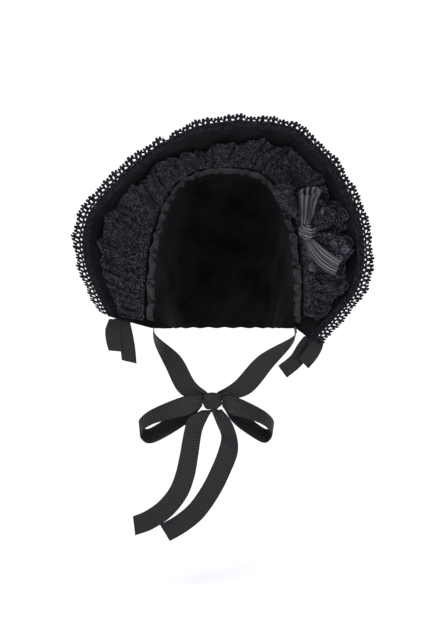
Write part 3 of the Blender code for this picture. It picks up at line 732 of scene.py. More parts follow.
# %% Heading band
run = np.linspace(0, sum(edge_run), REPEATS * 12 + 1)
u = edge_turn(run)[None, :] * LACE_REACH
t = np.linspace(-LACE_HEADING, 2.0, 12)[:, None] * MM
KNOT_ROW = 2.9
bumps = 0.4 * MM * np.sin(run / MM * math.tau / KNOT_ROW)[None, :] * np.sin(t / MM * math.tau / KNOT_ROW)
bumps = bumps + 0.3 * MM * np.exp(-((t / MM + LACE_HEADING - 0.8) / 0.6) ** 2)
u, t = np.broadcast_arrays(u, t)
grid = lace_place(u, t, bumps - 0.1 * MM, 1.0 + 0 * u, 0 * u, 0 * u)
uv = np.stack(np.broadcast_arrays(run[None, :], t), axis=-1)
heading = dress(cloth("edge_lace_heading", grid, edge_cotton, 0.7 * MM, uv), ["edge_lace"])

# %% [markdown]
# ## Pierced lace
# The ruffle is a finer lace, a net of small round holes with denser bands. Its holes are smaller than the
# edge lace's, and there are thousands, so each is a cell of a grid with its middle taken out:
# the faces are extruded on the spot, shrunk to the hole's size and deleted.
# Rows are set half a cell apart, as in a real net, and the holes shrink and grow in a small repeating figure.

# %% Net nodes
tree, given = new_tree("pierced_net", [
    ("Length", "NodeSocketFloat", 1.0), ("Width", "NodeSocketFloat", 0.06),
    ("Cell", "NodeSocketFloat", 0.0028), ("Hole", "NodeSocketFloat", 0.62),
    ("Figure", "NodeSocketFloat", 6.0),
])
size = given.outputs
counts, in_cells = {}, {}
for way in ("Length", "Width"):
    cells = add_node(tree, "ShaderNodeMath", {"operation": "DIVIDE"}, {0: size[way], 1: size["Cell"]})
    counts[way] = add_node(tree, "FunctionNodeFloatToInt", {"rounding_mode": "CEILING"}, {
        0: cells.outputs[0]})
net = add_node(tree, "GeometryNodeMeshGrid", {}, {
    "Size X": size["Length"], "Size Y": size["Width"],
    "Vertices X": counts["Length"].outputs[0], "Vertices Y": counts["Width"].outputs[0]})
place = add_node(tree, "GeometryNodeInputPosition", {}, {})
parts = add_node(tree, "ShaderNodeSeparateXYZ", {}, {"Vector": place.outputs["Position"]})
for axis in ("X", "Y"):
    in_cells[axis] = add_node(tree, "ShaderNodeMath", {"operation": "DIVIDE"}, {
        0: parts.outputs[axis], 1: size["Cell"]})
half_turn = add_node(tree, "ShaderNodeMath", {"operation": "MULTIPLY"}, {
    0: in_cells["Y"].outputs[0], 1: math.pi})
swing = add_node(tree, "ShaderNodeMath", {"operation": "SINE"}, {0: half_turn.outputs[0]})
sway = add_node(tree, "ShaderNodeMath", {"operation": "MULTIPLY"}, {0: size["Cell"], 1: 0.3})
shift = add_node(tree, "ShaderNodeMath", {"operation": "MULTIPLY"}, {
    0: swing.outputs[0], 1: sway.outputs[0]})
shift_x = add_node(tree, "ShaderNodeCombineXYZ", {}, {"X": shift.outputs[0]})
brick = add_node(tree, "GeometryNodeSetPosition", {}, {
    "Geometry": net.outputs["Mesh"], "Offset": shift_x.outputs["Vector"]})
raised = add_node(tree, "GeometryNodeExtrudeMesh", {"mode": "FACES"}, {
    "Mesh": brick.outputs["Geometry"], "Offset Scale": 0.0, "Individual": True})
waves = []
for axis, stretch in (("X", 1.0), ("Y", 1.25)):
    figures = add_node(tree, "ShaderNodeMath", {"operation": "DIVIDE"}, {
        0: in_cells[axis].outputs[0], 1: size["Figure"]})
    angle = add_node(tree, "ShaderNodeMath", {"operation": "MULTIPLY"}, {
        0: figures.outputs[0], 1: math.tau * stretch})
    waves.append(add_node(tree, "ShaderNodeMath", {"operation": "SINE"}, {0: angle.outputs[0]}))
figure = add_node(tree, "ShaderNodeMath", {"operation": "MULTIPLY"}, {
    0: waves[0].outputs[0], 1: waves[1].outputs[0]})
swell = add_node(tree, "ShaderNodeMath", {"operation": "MULTIPLY_ADD"}, {
    0: figure.outputs[0], 1: 0.32, 2: 1.0})
opened = add_node(tree, "ShaderNodeMath", {"operation": "MULTIPLY"}, {
    0: swell.outputs[0], 1: size["Hole"]})
shrunk = add_node(tree, "GeometryNodeScaleElements", {"domain": "FACE"}, {
    "Geometry": raised.outputs["Mesh"], "Selection": raised.outputs["Top"], "Scale": opened.outputs[0]})
cut = add_node(tree, "GeometryNodeDeleteGeometry", {"domain": "FACE"}, {
    "Geometry": shrunk.outputs["Geometry"], "Selection": raised.outputs["Top"]})
pierced_net = end_tree(tree, cut.outputs["Geometry"], lace)
NET_KNOTS = 0.35 * MM


def net_piece(name, length, width, cell, hole, bend, wall):
    """Pierced lace of a flat size, bent by a function of shares along and across it, and roughened."""
    mesh = grow(name, bpy.data.meshes.new(name + "_start"), pierced_net, {
        "Length": length, "Width": width, "Cell": cell, "Hole": hole})
    points = coordinates(mesh)
    bent = bend(points[:, 0] / length + 0.5, points[:, 1] / width + 0.5)
    set_coordinates(mesh, bent)
    mesh.update()
    normals = np.zeros(len(points) * 3, np.float32)
    mesh.vertices.foreach_get("normal", normals)
    bumps = np.random.default_rng(4).uniform(-1, 1, len(points)) * NET_KNOTS
    set_coordinates(mesh, bent + normals.reshape(-1, 3) * bumps[:, None])
    corner = np.zeros(len(mesh.loops), np.int32)
    mesh.loops.foreach_get("vertex_index", corner)
    mesh.uv_layers.new(name="cloth").data.foreach_set("uv", points[corner, :2].astype(np.float32).ravel())
    return walled(name, mesh, wall)


def cloth_area(piece):
    return sum(p.area for p in piece.data.polygons)


# %% [markdown]
# ## The ruffle
# A strip of the net is gathered on a thread along the opening and stands in soft folds over the velvet.
# It could be draped by simulation, but a rule gives the same folds on every run. It keeps the reach and
# height of the solid, and folds the strip more closely, with round tops and narrow valleys as lace has.
# The folds wander and differ in depth, the outline dips where a valley ends, and picots fringe it.

# %% Ruffle
RUFFLE_FROM, RUFFLE_ENDS, RUFFLE_FOLDS = 11.5 * MM, (-0.97, 0.91), 43
RUFFLE_DEPTH, RUFFLE_LIFT, RUFFLE_PICOTS = 11 * MM, 2.8 * MM, 128
BOW_TURN, BOW_ACROSS, BOW_LIFT, BOW_LENGTH = 0.51, 0.40, 25 * MM, 55 * MM
REACH = np.array((
    # turn, reach
    (-1.00, 0.75), (-0.75, 0.82), (-0.55, 0.85), (-0.38, 0.85), (-0.24, 0.76), (-0.12, 0.56),
    (0.05, 0.73), (0.25, 0.79), (0.50, 0.84), (0.75, 0.87), (1.00, 0.85),
))


def crush(u):
    """How far the ruffle is pressed flat under the side bow."""
    return 1 - 0.65 * np.exp(-(((u - BOW_TURN) / 0.22) ** 2))


def ruffle_bend(along, across):
    """Where a share along and across the flat strip comes to lie."""
    u = RUFFLE_ENDS[0] + (RUFFLE_ENDS[1] - RUFFLE_ENDS[0]) * along
    start = RUFFLE_FROM / brim_width(u)
    turn = math.tau * (RUFFLE_FOLDS * along + 0.45 * soft_noise(along * 15, 0.0 * along, 35))
    t = across
    uneven = 0.25 * np.sin(turn * 0.23 + 1.0) + 0.15 * np.sin(turn * 0.41)
    wander = 0.8 * t * np.sin(turn * 0.19) + 1.3 * t * soft_noise(along * 9, t * 0.8, 31)
    soft = soft_noise(along * 13, t * 1.1, 33)
    valley = np.abs(np.sin(turn / 2 + wander)) ** 0.9
    sharp = 0.78 + 0.22 * np.sin(turn * 0.27 + 2.0 * soft)
    fold = np.clip(0.82 + 0.22 * soft - 1.15 * sharp * (1 - valley), 0, 1.1)
    depth = RUFFLE_DEPTH * (0.18 + 0.82 * np.sin(math.pi / 2 * np.minimum(1.25 * t, 1)))
    small = 0.9 * MM * t * np.sin(turn * 2.3 + 5 * t + 1.2)
    lift = RUFFLE_LIFT + 0.8 * MM + crush(u) * (depth * fold * (0.75 + uneven) + small)
    reach = np.interp(u, REACH[:, 0], REACH[:, 1]) + 0.035 * np.sin(turn * 0.33 + 2)
    lumps = 0.07 * (np.abs(np.sin(turn * 0.17 + 0.5)) ** 0.7 - 0.6) - 0.11 * sharp * (1 - valley)
    picots = 0.016 * np.abs(np.sin(along * RUFFLE_PICOTS * math.pi)) * np.clip(t * 6 - 5, 0, 1)
    v = start + (np.maximum(reach, start + 0.2) + lumps + picots - start) * t
    return brim_at(u, v, lift)


RUFFLE_CUT = (62 * MM, 1050 * MM)
RUFFLE_CELL, HOLE = 3.5 * MM, 0.57
ruffle = net_piece("ruffle_net", RUFFLE_CUT[1], RUFFLE_CUT[0], RUFFLE_CELL, HOLE, ruffle_bend, wall=0.9 * MM)
dress(ruffle, ["ruffle_lace"])
print(
    "ruffle cloth in cm2:", round(cloth_area(ruffle) * 1e4),
    "flat:", round(RUFFLE_CUT[0] * RUFFLE_CUT[1] * 1e4),
)

# %% [markdown]
# ## The ruche
# Along the opening runs a narrow ribbon, gathered in a zigzag to hide the seam. It is a sheet whose two edges
# wave with a small delay, so that the pleats lean over as pushed-up ribbon does.

# %% Ruche
RUCHE_WIDTH, RUCHE_WAVES, RUCHE_DEPTH, RUCHE_LIFT = 11 * MM, 30, 5 * MM, 2.6 * MM
around, rows = RUCHE_WAVES * 20, 10
share = np.linspace(0, 1, around + 1)[None, :]
i = np.linspace(0, 1, rows + 1)[:, None]
u = np.broadcast_to((2 * share - 1) * 0.96, (rows + 1, around + 1))
here, ahead, across, face = brim_frame(u, 0.0)
slide = math.tau * RUCHE_WAVES * share + 0.6 * i + 1.5 * soft_noise(share * 14, 0.3 * i, 41)
wave = np.sin(slide)
sharp = wave * (1.35 - 0.35 * wave**2)
uneven = 0.75 + 0.25 * soft_noise(share * 11, 0.0 * i, 42)
bumps = (0.5 + 0.5 * sharp) * uneven * (0.55 + 0.45 * (1 - i)) * RUCHE_DEPTH
puff = 1.0 * MM * np.sin(math.pi * i)
lean = np.cos(slide) * 1.6 * MM * (i - 0.5)
narrow = (0.78 + 0.12 * soft_noise(share * 17, 0.0 * i, 43)) * RUCHE_WIDTH
grid = here + across * (i * narrow - 1.5 * MM)[..., None]
grid = grid + face * (RUCHE_LIFT + bumps + puff)[..., None] + ahead * lean[..., None]
run = run_lengths(grid[rows // 2])
length = run[-1]
uv = np.stack(np.broadcast_arrays(RUCHE_WIDTH * i, run[None, :]), axis=-1)
ruche = dress(cloth("ruche_ribbon", grid, shaded_satin, 0.7 * MM, uv), ["ruche"])
print("ruche ribbon length in mm:", round(length * 1000))

# %% [markdown]
# ## Ribbons
# A ribbon is one width of cloth along a smooth line. Each row of its table gives the middle of the ribbon
# and half of its width as a direction, so it can turn and slant as it falls. The rows are spaced evenly
# along its length, so that the ribs of the weave keep their distance in every curve.


# %% Ribbon helper
def ribbon(name, centres, widths, finish, wall, step, columns, relief):
    """Returns the piece and its length. relief(down, side, length) lifts the surface, in metres."""
    fine = 600
    middle, half = smooth(centres, fine), smooth(widths, fine)
    run = run_lengths(middle)
    rows = max(8, round(run[-1] / step))
    down = np.linspace(0, run[-1], rows + 1)
    middle = np.stack([np.interp(down, run, middle[:, k]) for k in range(3)], axis=-1)
    half = np.stack([np.interp(down, run, half[:, k]) for k in range(3)], axis=-1)
    face = unit(np.cross(half, np.gradient(middle, axis=0)))
    side = np.linspace(-1, 1, columns + 1)
    lift = relief(down[:, None], side[None, :], run[-1])
    grid = middle[:, None] + half[:, None] * side[None, :, None] + face[:, None] * lift[..., None]
    wide = np.linalg.norm(half, axis=-1).max()
    uv = np.stack(np.broadcast_arrays((side * wide)[None, :], down[:, None]), axis=-1)
    return cloth(name, grid, finish, wall, uv), run[-1]


def ribbed(pinch_start, pinch_end):
    """Relief of a grosgrain ribbon: ribs, raised selvedges, and small pleats where a knot pinches it."""
    def lift(down, side, length):
        ribs = 0.16 * MM * np.sin(math.tau * down / RIB) * (1 - np.clip(np.abs(side) * 14 - 13, 0, 1))
        selvedge = 0.22 * MM * np.clip(np.abs(side) * 12 - 11, 0, 1)
        pleats = 1.1 * MM * np.cos(2.5 * math.pi * side)
        near = pinch_start * np.exp(-down / (11 * MM)) + pinch_end * np.exp(-(length - down) / (11 * MM))
        soft = 0.5 * MM * np.sin(down / (31 * MM) + 1) * side
        return ribs + selvedge + pleats * near + soft
    return lift


# %% [markdown]
# ## Chin bow
# The ties meet under the chin in a bow: two loops that droop to the sides, and two tails with slanted ends
# that hang in front of the neck. Their tables are those of the solids, as shares of the tail's drop.

# %% Chin bow tables
RIBBON_WIDTH, RIBBON_WALL, SEAM = 22 * MM, 1.2 * MM, 0.35 * MM
CHIN_KNOT, TAIL_LENGTH, LOOP_LENGTH = 22 * MM, 150 * MM, 74 * MM
chin = np.array((-14.0, -66.0, -259.0)) * MM
TAILS = {
    "chin_tail_right": (
        # side, forward, down, turn, slant
        (-0.035, 0.02, 0.065, 10, 0), (-0.104, 0.04, 0.125, 15, -3), (-0.141, 0.05, 0.225, 25, -5),
        (-0.170, 0.06, 0.395, 22, -7), (-0.200, 0.07, 0.542, 15, -12), (-0.252, 0.08, 0.674, 12, -27),
        (-0.348, 0.09, 0.792, 10, -48), (-0.466, 0.10, 0.872, 8, -70), (-0.577, 0.10, 0.916, 8, -84),
    ),
    "chin_tail_left": (
        (0.030, -0.01, 0.07, -10, 0), (0.085, -0.02, 0.16, -45, 10), (0.126, -0.03, 0.273, -40, 0),
        (0.118, -0.02, 0.384, -10, -8), (0.066, -0.01, 0.518, 5, -20), (-0.008, 0.00, 0.666, 8, -28),
        (-0.112, 0.01, 0.815, 8, -42), (-0.224, 0.02, 0.910, 8, -54), (-0.351, 0.02, 0.985, 8, -60),
    ),
}
LOOP = (
    # out, drop, forward, turn of the width from upright towards the back
    (0.0, 0.03, 0.03, 0), (0.36, 0.08, 0.07, 28), (0.70, 0.18, 0.08, 45), (0.97, 0.30, 0.06, 55),
    (1.09, 0.44, 0.02, 56), (0.99, 0.56, -0.03, 55), (0.80, 0.50, -0.07, 45), (0.40, 0.24, -0.09, 28),
    (0.0, 0.04, -0.04, 0),
)
RIBBON_ROW, CLOTH_WALL = 0.55 * MM, 0.8 * MM


def grosgrain_piece(name, centres, widths, columns, relief):
    """Makes and dresses one length of the ribbon, at a share of its full width."""
    piece, length = ribbon(
        name + "_ribbon", centres, widths, grosgrain, CLOTH_WALL, RIBBON_ROW, columns, relief)
    dress(piece, [name])
    print(name, "length in mm:", round(length * 1000))


# %% Chin tails and loops
for name, rows in TAILS.items():
    centres, widths = [], []
    for i, (side, forward, down, turn, slant) in enumerate(rows):
        point = chin + np.array((side, -forward, -down)) * TAIL_LENGTH
        if i == 0:
            point[2] = chin[2] - CHIN_KNOT * 0.43 - SEAM
        a, b = math.radians(turn), math.radians(slant)
        centres.append(point)
        widths.append(
            np.array((math.cos(a) * math.cos(b), math.sin(a), math.sin(b)))
            * RIBBON_WIDTH / 2 * (0.55 if i == 0 else 1.0)
        )
    grosgrain_piece(name, centres, widths, 14, ribbed(1, 0))

for name, hand in (("chin_loop_right", -1), ("chin_loop_left", 1)):
    centres, widths = [], []
    for i, (out, drop, forward, turn) in enumerate(LOOP):
        at_knot = i in (0, len(LOOP) - 1)
        reach = out * LOOP_LENGTH * (1.0 if hand < 0 else 0.84)
        centres.append(chin + np.array((
            hand * (CHIN_KNOT * (0.5 if i == 0 else 0.49) + SEAM if at_knot else reach),
            -forward * LOOP_LENGTH,
            -drop * LOOP_LENGTH + 2 * MM,
        )))
        a = math.radians(turn)
        widths.append(
            np.array((hand * 0.15 * math.sin(a), math.sin(a), math.cos(a)))
            * RIBBON_WIDTH / 2 * (0.45 if at_knot else 1.0)
        )
    grosgrain_piece(name, centres, widths, 14, ribbed(1, 1))

# %% [markdown]
# ## Ties
# Each tie is sewn inside a foot of the opening and runs down and forward under the jaw to the knot.
# Together with the bow it is one closed loop round the head, which is what holds the bonnet on.

# %% Ties
TIE_TURNS = (
    # turn of the width up from straight ahead, how much of it points inwards, share of the full width
    (0, 0.0, 1), (22, 0.3, 1), (64, 1.3, 1), (80, 1.1, 1), (82, 0.1, 0.45),
)
for name, hand in (("chin_tie_right", -1), ("chin_tie_left", 1)):
    start = opening(np.array(float(hand))) + np.array((
        -hand * ((BRIM_WALL + RIBBON_WALL) / 2 + SEAM), -(CROWN_WALL + RIBBON_WIDTH) / 2 - SEAM, 3 * MM))
    low = start + np.array((-hand * 2, -1, -15)) * MM
    end = chin + np.array((hand * CHIN_KNOT * 0.28, CHIN_KNOT * 0.31 + SEAM * 0.3, 4 * MM))
    jaw = low + (end - low) * 0.42 + np.array((hand * 4, -9, 2.5)) * MM
    under = low + (end - low) * 0.78 + np.array((hand * 8.5, -6, -3.5)) * MM
    widths = []
    for turn, inwards, pinch in TIE_TURNS:
        a = math.radians(turn)
        across = unit(np.array((-hand * inwards * math.sin(a), -math.cos(a), math.sin(a))))
        widths.append(across * RIBBON_WIDTH / 2 * pinch)
    grosgrain_piece(name, [start, low, jaw, under, end], widths, 14, ribbed(0, 1))

# %% [markdown]
# ## Knots
# A pulled ribbon knot is a rounded cushion with the wraps of the ribbon crossing it at a slant.
# Winding a real ribbon round itself would need many hidden layers. A rounded block with deep furrows
# between its wraps looks the same from every side, because only the outermost turns ever show.


# %% Knot helper
def knot(name, centre, axes, finish, wraps, slant, seed):
    """A rounded block of ribbon wraps. axes are its half-sizes, the last across the wraps."""
    columns, rows = 72, 40
    turn = np.linspace(0, math.tau, columns, endpoint=False)[None, :]
    rise = np.linspace(-math.pi / 2, math.pi / 2, rows + 1)[1:-1, None]
    x, y, z = np.cos(rise) * np.cos(turn), np.cos(rise) * np.sin(turn), np.sin(rise) + 0 * turn
    swell = (np.abs(x) ** 3 + np.abs(y) ** 3 + np.abs(z) ** 3) ** (-1 / 3)
    x, y, z = x * swell, y * swell, z * swell
    phase = z * wraps * math.pi + slant * np.sin(turn + seed) + 0.6 * np.sin(2 * turn + seed)
    body = 1 - 0.11 * np.abs(np.sin(phase / 2 + 0.4)) ** 6 + 0.015 * np.cos(phase * 5)
    points = centre + sum(axis * (part * body)[..., None] for axis, part in zip(axes, (x, y, z)))
    ends = np.array([centre - axes[2] * 0.97, centre + axes[2] * 0.97])
    grid = points.reshape(-1, 3)
    faces, uvs = [], []
    girth = math.tau * np.linalg.norm(axes[0]) * 0.9
    height = z[:, 0] * np.linalg.norm(axes[2])
    count = rows - 1
    for i in range(count - 1):
        for j in range(columns):
            k = (j + 1) % columns
            faces.append((i * columns + j, i * columns + k, (i + 1) * columns + k, (i + 1) * columns + j))
            for row, column in ((i, j), (i, j + 1), (i + 1, j + 1), (i + 1, j)):
                rise_there = 0.3 * slant * MM * math.sin(column / columns * math.tau)
                uvs.append((height[row] + rise_there, girth * column / columns))
    low, high = len(grid), len(grid) + 1
    for j in range(columns):
        k = (j + 1) % columns
        faces += [(low, k, j), (high, (count - 1) * columns + j, (count - 1) * columns + k)]
        uvs += [(0.0, girth * j / columns)] * 6
    mesh = bpy.data.meshes.new(name)
    mesh.from_pydata(np.concatenate([grid, ends]).tolist(), [], faces)
    mesh.uv_layers.new(name="cloth").data.foreach_set("uv", np.array(uvs, np.float32).ravel())
    mesh.materials.append(finish)
    piece = new_object(name, mesh)
    face_outwards(piece)
    return piece


half = CHIN_KNOT / 2
chin_knot = knot(
    "chin_knot_wrap", chin, [np.array(a) for a in ((half, 0, 0), (0, half * 0.62, 0), (0, 0, half * 0.86))],
    grosgrain, 2, 0.9, 1.0,
)
dress(chin_knot, ["chin_knot"])

# %% [markdown]
# ## Side ribbons
# Behind each lower tip of the brim a short doubled ribbon is knotted, and its ends hang down past the edge.

# %% Side knots and tails
SIDE_TAIL_LENGTH, SIDE_KNOT, SIDE_SHARE = 46 * MM, 17 * MM, 0.8
SIDE_TAILS = {
    # side, back, down, turn
    "side_tail_right_outer": (-1, (
        (0.06, 0.0, 0.19, 0), (0.16, 0.04, 0.45, 4), (0.14, 0.05, 0.75, 2), (0.08, 0.05, 1.0, -6),
    )),
    "side_tail_right_inner": (-1, (
        (-0.06, 0.07, 0.185, 0), (-0.14, 0.14, 0.55, -6), (-0.20, 0.15, 0.90, -8), (-0.24, 0.14, 1.28, -14),
    )),
    "side_tail_left_outer": (1, (
        (0.03, 0.015, 0.185, 0), (0.03, 0.08, 0.40, 10), (-0.08, 0.10, 0.62, 30), (-0.28, 0.10, 0.86, 46),
    )),
    "side_tail_left_inner": (1, (
        (-0.08, 0.06, 0.18, 0), (-0.24, 0.16, 0.45, 20), (-0.46, 0.17, 0.80, 40), (-0.80, 0.15, 1.08, 54),
    )),
}
side_centres = {}
for hand, word in ((-1, "right"), (1, "left")):
    here, ahead, across, face = [a[0] for a in brim_frame(np.array([hand * 0.965]), 0.62)]
    side_centres[hand] = here - face * (BRIM_WALL / 2 + SIDE_KNOT * 0.31 + SEAM)
    side_knot = knot(
        f"side_knot_{word}_wrap", side_centres[hand],
        (across * SIDE_KNOT * 0.45, face * SIDE_KNOT * 0.31, ahead * SIDE_KNOT * 0.5),
        grosgrain, 2, 0.7, hand * 1.0,
    )
    dress(side_knot, [f"side_knot_{word}"])
for name, (hand, rows) in SIDE_TAILS.items():
    centres, widths = [], []
    for side, back, down, turn in rows:
        a = math.radians(turn)
        centres.append(side_centres[hand] + np.array((hand * side, back, -down)) * SIDE_TAIL_LENGTH)
        widths.append(np.array((math.cos(a), 0.15, -hand * math.sin(a))) * RIBBON_WIDTH * 0.40)
    grosgrain_piece(name, centres, widths, 12, ribbed(0.6, 0))

# %% [markdown]
# ## The side bow
# On the wearer's left a bow sits over the ruffle: two cups that stand up from a knot, one of satin and one of
# lace, and ribbon and lace ends that fall below it. A cup is a ribbon folded to a tube and pleated at the
# knot, so it is a row of rings that widen towards an open mouth. The ends are ribbons with long soft pleats.

# %% Bow frame and knot
here, _, _, face = [a[0] for a in brim_frame(np.array([BOW_TURN]), BOW_ACROSS)]
bow_up = np.array((0.0, 0.0, 1.0))
bow_up = unit(bow_up - face * dot(bow_up, face))
bow_right = np.cross(bow_up, face)
bow_out, bow_centre = face, here + face * BOW_LIFT


def bow_at(side, rise, out):
    side, rise, out = [np.asarray(a)[..., None] for a in (side, rise, out)]
    return bow_centre + (bow_right * side + bow_up * rise + bow_out * out) * BOW_LENGTH


BOW_KNOT = 17 * MM
half, tilt = BOW_KNOT / 2, math.radians(28)
wrap_along = bow_right * math.cos(tilt) - bow_up * math.sin(tilt)
wrap_over = bow_up * math.cos(tilt) + bow_right * math.sin(tilt)
bow_knot = knot(
    "bow_knot_wrap", bow_centre, (wrap_along * half * 1.15, bow_out * half * 0.85, wrap_over * half * 1.05),
    satin, 3, 2.2, 0.4,
)
dress(bow_knot, ["bow_knot"])

# %% Bow cups
CUPS = {
    "bow_upper": (0.09, (
        # side, rise, half width, half depth, outward
        (0.00, 0.163, 0.11, 0.05, 0.02), (0.09, 0.36, 0.15, 0.07, 0.05), (0.17, 0.56, 0.17, 0.09, 0.08),
        (0.25, 0.75, 0.21, 0.11, 0.11), (0.31, 0.92, 0.26, 0.13, 0.12),
    )),
    "bow_lace_upper": (0.12, (
        (-0.12, 0.173, 0.05, 0.03, -0.066), (-0.28, 0.38, 0.13, 0.05, -0.06),
        (-0.37, 0.58, 0.18, 0.07, -0.02), (-0.41, 0.80, 0.22, 0.08, 0.02), (-0.40, 1.00, 0.24, 0.08, 0.05),
    )),
}


def cup_points(rows, ruffle, down, turn, pleats=0, deep_pleat=0.0):
    """Points of a cup at shares of its height and turns round it."""
    table = smooth(rows, 200)
    side, rise, wide, deep, out = [np.interp(down, np.linspace(0, 1, 201), table[:, k]) for k in range(5)]
    fullness = np.clip(down * 4, 0, 1)
    pleat = 1 + ruffle * fullness * (np.cos(5 * turn) + 0.3 * np.cos(10 * turn + 0.6))
    drop = 0.10 * down**2 * (1 + np.sin(turn)) / 2
    groove = deep_pleat * fullness * np.cos(pleats * turn)
    wide, deep = wide * pleat + groove, deep * pleat + groove
    return bow_at(side + wide * np.cos(turn), rise - drop, out + deep * np.sin(turn))


ruffle_share, rows = CUPS["bow_upper"]
turn = np.linspace(0, math.tau, 140, endpoint=False)[None, :]
down = np.linspace(0, 1, 41)[:, None]
# The UV map is as wide as the pleats times the cords' spacing, so each pleat carries one cord with its
# painted highlight.
CUP_PLEATS, PLEAT_DEPTH, CUP_DROP = 11, 0.020, 46 * MM
grid = cup_points(rows, ruffle_share, down + 0 * turn, turn + 0 * down, CUP_PLEATS, PLEAT_DEPTH)
round_it = np.linspace(0, CUP_PLEATS * CORD, grid.shape[1] + 1)
uv = np.stack(np.broadcast_arrays(round_it[None, :], down * CUP_DROP), axis=-1)
cup = dress(cloth("bow_upper_ribbon", grid, satin, CLOTH_WALL, uv, around=True), ["bow_upper"])
print("satin cup cloth in cm2:", round(cloth_area(cup) * 1e4, 1))

# %% Lace cup
BOW_CELL, BOW_HOLE, BOW_LACE_WALL = 2.9 * MM, 0.55, 0.7 * MM
LACE_CUP_CUT = (0.046, 0.072)
ruffle_share, rows = CUPS["bow_lace_upper"]
lace_cup = net_piece(
    "bow_lace_upper_net", LACE_CUP_CUT[1], LACE_CUP_CUT[0], BOW_CELL, BOW_HOLE,
    lambda along, across: cup_points(rows, ruffle_share, across, along * math.tau), wall=BOW_LACE_WALL,
)
dress(lace_cup, ["bow_lace_upper"])
print("lace cup cloth in cm2:", round(cloth_area(lace_cup) * 1e4, 1))

# %% Bow ends
ENDS = {
    "bow_lower": (0.035, (
        # side, rise, outward, half width, turn
        (0.00, -0.163, 0.01, 0.12, 0), (0.12, -0.36, 0.05, 0.18, 26), (0.29, -0.53, 0.09, 0.21, 42),
        (0.48, -0.67, 0.10, 0.21, 50), (0.66, -0.76, 0.10, 0.19, 58),
    )),
    "bow_lace_tail": (0.03, (
        (-0.05, -0.155, -0.05, 0.07, 0), (-0.14, -0.40, -0.10, 0.13, -5), (-0.13, -0.64, -0.10, 0.15, -5),
        (-0.08, -0.90, -0.12, 0.14, 0),
    )),
    "bow_lace_side": (0.03, (
        (0.152, 0.06, -0.03, 0.07, -90), (0.34, 0.20, -0.09, 0.20, -52), (0.50, 0.36, -0.07, 0.25, -45),
        (0.60, 0.52, -0.02, 0.25, -40),
    )),
    "bow_lace_lower": (0.03, (
        (0.135, -0.10, -0.05, 0.05, 80), (0.38, -0.26, -0.18, 0.20, 50), (0.58, -0.48, -0.205, 0.26, 46),
        (0.72, -0.68, -0.135, 0.26, 42),
    )),
}


def end_lines(rows):
    """Middles and half widths of a bow end."""
    centres = [bow_at(*row[:3]) for row in rows]
    widths = []
    for row in rows:
        a = math.radians(row[4])
        widths.append((bow_right * math.cos(a) + bow_up * math.sin(a)) * row[3] * BOW_LENGTH)
    return centres, widths


def strip_bend(rows, ruffle):
    """A function that bends a flat strip along a bow end, for shares along and across it."""
    centres, widths = end_lines(rows)
    middle, half = smooth(centres, 400), smooth(widths, 400)
    faces = unit(np.cross(half, np.gradient(middle, axis=0)))
    ticks = np.linspace(0, 1, 401)

    def bend(along, across):
        here, wide, off = [
            np.stack([np.interp(along, ticks, table[:, k]) for k in range(3)], axis=-1)
            for table in (middle, half, faces)
        ]
        side = 2 * across - 1
        lift = ruffle * BOW_LENGTH * np.sin(2.6 * along) * np.cos(2 * math.pi * side)
        return here + wide * side[..., None] + off * lift[..., None]
    return bend


def pleated(down, side, length):
    """Relief of the satin end: soft pleats along it, deepest past its middle."""
    return ruffle_share * BOW_LENGTH * np.sin(2.6 * down / length) * np.cos(math.tau * side)


LOWER_CUT_WIDTH, BOW_ROW = 0.029, 0.9 * MM
ruffle_share, rows = ENDS["bow_lower"]
centres, widths = end_lines(rows)
end, length = ribbon("bow_lower_ribbon", centres, widths, satin, CLOTH_WALL, BOW_ROW, 48, pleated)
dress(end, ["bow_lower"])
for name, (ruffle_share, rows) in ENDS.items():
    if name == "bow_lower":
        continue
    centres, widths = end_lines(rows)
    length = run_lengths(smooth(centres, 100))[-1]
    width = 2 * max(np.linalg.norm(w) for w in widths)
    bend = strip_bend(rows, ruffle_share)
    end = net_piece(name + "_net", length, width, BOW_CELL, BOW_HOLE, bend, wall=BOW_LACE_WALL)
    dress(end, [name])
    print(name, "flat in mm:", round(width * 1000), "by", round(length * 1000))

# %% [markdown]
# ## Rosettes
# The bow's lace carries small round motifs, each of two rings of heavy thread that catch more light; their
# finish is painted lighter than the lace's, as painted highlight.
# They lie on the lace, so one is drawn flat as lines, thickened by the nodes that made the edge lace, and
# laid on each spot with the directions that the bent lace has there.

# %% Rosettes
ROSETTE, ROSETTE_THREAD, ROSETTE_LIFT = 4.0, 0.5, 2.2 * MM
rings = [arc((0, 0), ROSETTE, 0, 360, 24), arc((0, 0), ROSETTE * 0.45, 0, 360, 14)]
flat_rosette = grow("rosette", line_mesh("rosette_lines", rings), repeat_threads, {
    "Repeats": 1, "Pitch": 0.01, "Thread Radius": ROSETTE_THREAD * MM})
pattern = coordinates(flat_rosette)
MOTIFS = (
    # lace piece, share along it, share across it
    ("bow_lace_tail", 0.55, 0.5), ("bow_lace_tail", 0.88, 0.45), ("bow_lace_side", 0.62, 0.35),
    ("bow_lace_lower", 0.45, 0.5), ("bow_lace_lower", 0.82, 0.3), ("bow_lace_lower", 0.80, 0.8),
)
bends = {name: strip_bend(rows, ruffle_share) for name, (ruffle_share, rows) in ENDS.items()}
places, bits, nudge = [], [], 0.02
for name, along_it, across_it in MOTIFS:
    share, other = np.array([along_it]), np.array([across_it])
    centre = bends[name](share, other)[0]
    down = unit(bends[name](share + nudge, other)[0] - centre)
    side = unit(bends[name](share, other + nudge)[0] - centre)
    off = unit(np.cross(down, side))
    off = off * (1 if dot(off, bow_out) > 0 else -1)
    side = np.cross(off, down)
    laid = pattern[:, :1] * side + pattern[:, 1:2] * down + pattern[:, 2:] * off
    places.append(centre + off * ROSETTE_LIFT + laid)
corners = [list(f.vertices) for f in flat_rosette.polygons]
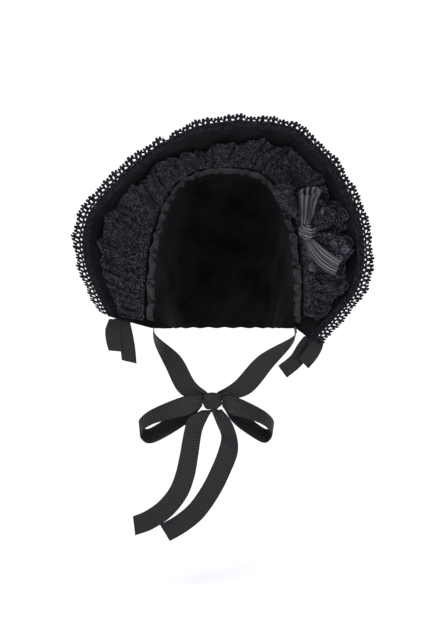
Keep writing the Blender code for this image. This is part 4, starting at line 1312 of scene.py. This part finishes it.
for n in range(len(places)):
    bits += [[v + n * len(pattern) for v in face] for face in corners]
mesh = bpy.data.meshes.new("bow_rosettes")
mesh.from_pydata(np.concatenate(places).tolist(), [], bits)
mesh.materials.append(highlighted_thread)
rosettes = new_object("bow_rosettes", mesh)
dress(rosettes, ["bow_lace_tail", "bow_lace_side", "bow_lace_lower"])
face_outwards(rosettes)

# %% [markdown]
# ## Floor and light
# The photo is high key: a white table and wall, lit softly from all round, with hardly a shadow.
# One sheet of pale paper, curved up behind, gives a floor and wall without a line between them.
# Two large soft lights from the front and a pale sky keep the black cloth readable.

# %% Floor
FLOOR = -0.475
profile = [(-3.0, FLOOR), (1.2, FLOOR)]
profile += [(1.2 + math.sin(a), FLOOR + 1.0 - math.cos(a)) for a in np.linspace(0.1, math.pi / 2, 16)]
profile += [(2.2, 4.0)]
points = [(x, y, z) for y, z in profile for x in (-6, 6)]
faces = [(2 * i, 2 * i + 1, 2 * i + 3, 2 * i + 2) for i in range(len(profile) - 1)]
mesh = bpy.data.meshes.new("paper_floor")
mesh.from_pydata(points, [], faces)
paper, tree, shader = new_finish("white_paper", Roughness=0.9, IOR=1.45, Specular_IOR_Level=0.1)
spot = add_node(tree, "ShaderNodeTexCoord", {}, {})
grain = add_node(tree, "ShaderNodeTexNoise", {}, {"Vector": spot.outputs["Object"], "Scale": 3.0})
shade = add_node(tree, "ShaderNodeMix", {"data_type": "RGBA"}, {
    0: grain.outputs["Fac"], 6: linear("#f3f2f5"), 7: linear("#f7f6f9")})
tree.links.new(shade.outputs[2], shader.inputs["Base Color"])
mesh.materials.append(paper)
new_object("paper_floor", mesh)

# %% Lights
world = bpy.data.worlds.new("studio")
bpy.context.scene.world = world
world.use_nodes = True
sky = next(n for n in world.node_tree.nodes if n.type == "BACKGROUND")
sky.inputs["Color"].default_value = linear("#fbfafd")
sky.inputs["Strength"].default_value = 0.85
bpy.context.scene.view_settings.view_transform = "Standard"


def softbox(name, place, target, size, watts):
    lamp = bpy.data.lights.new(name, "AREA")
    lamp.shape, lamp.size, lamp.energy = "SQUARE", size, watts
    holder = bpy.data.objects.new(name, lamp)
    bpy.context.scene.collection.objects.link(holder)
    holder.location = place
    holder.rotation_euler = (Vector(target) - Vector(place)).to_track_quat("-Z", "Y").to_euler()


softbox("key", (-0.9, -1.9, 1.5), (0, 0, -0.1), 1.2, 26)
softbox("fill", (1.4, -1.7, 0.7), (0, 0, -0.15), 1.4, 14)
softbox("top", (0.0, 0.2, 2.2), (0, 0.1, -0.3), 2.0, 20)
print("lights ready")
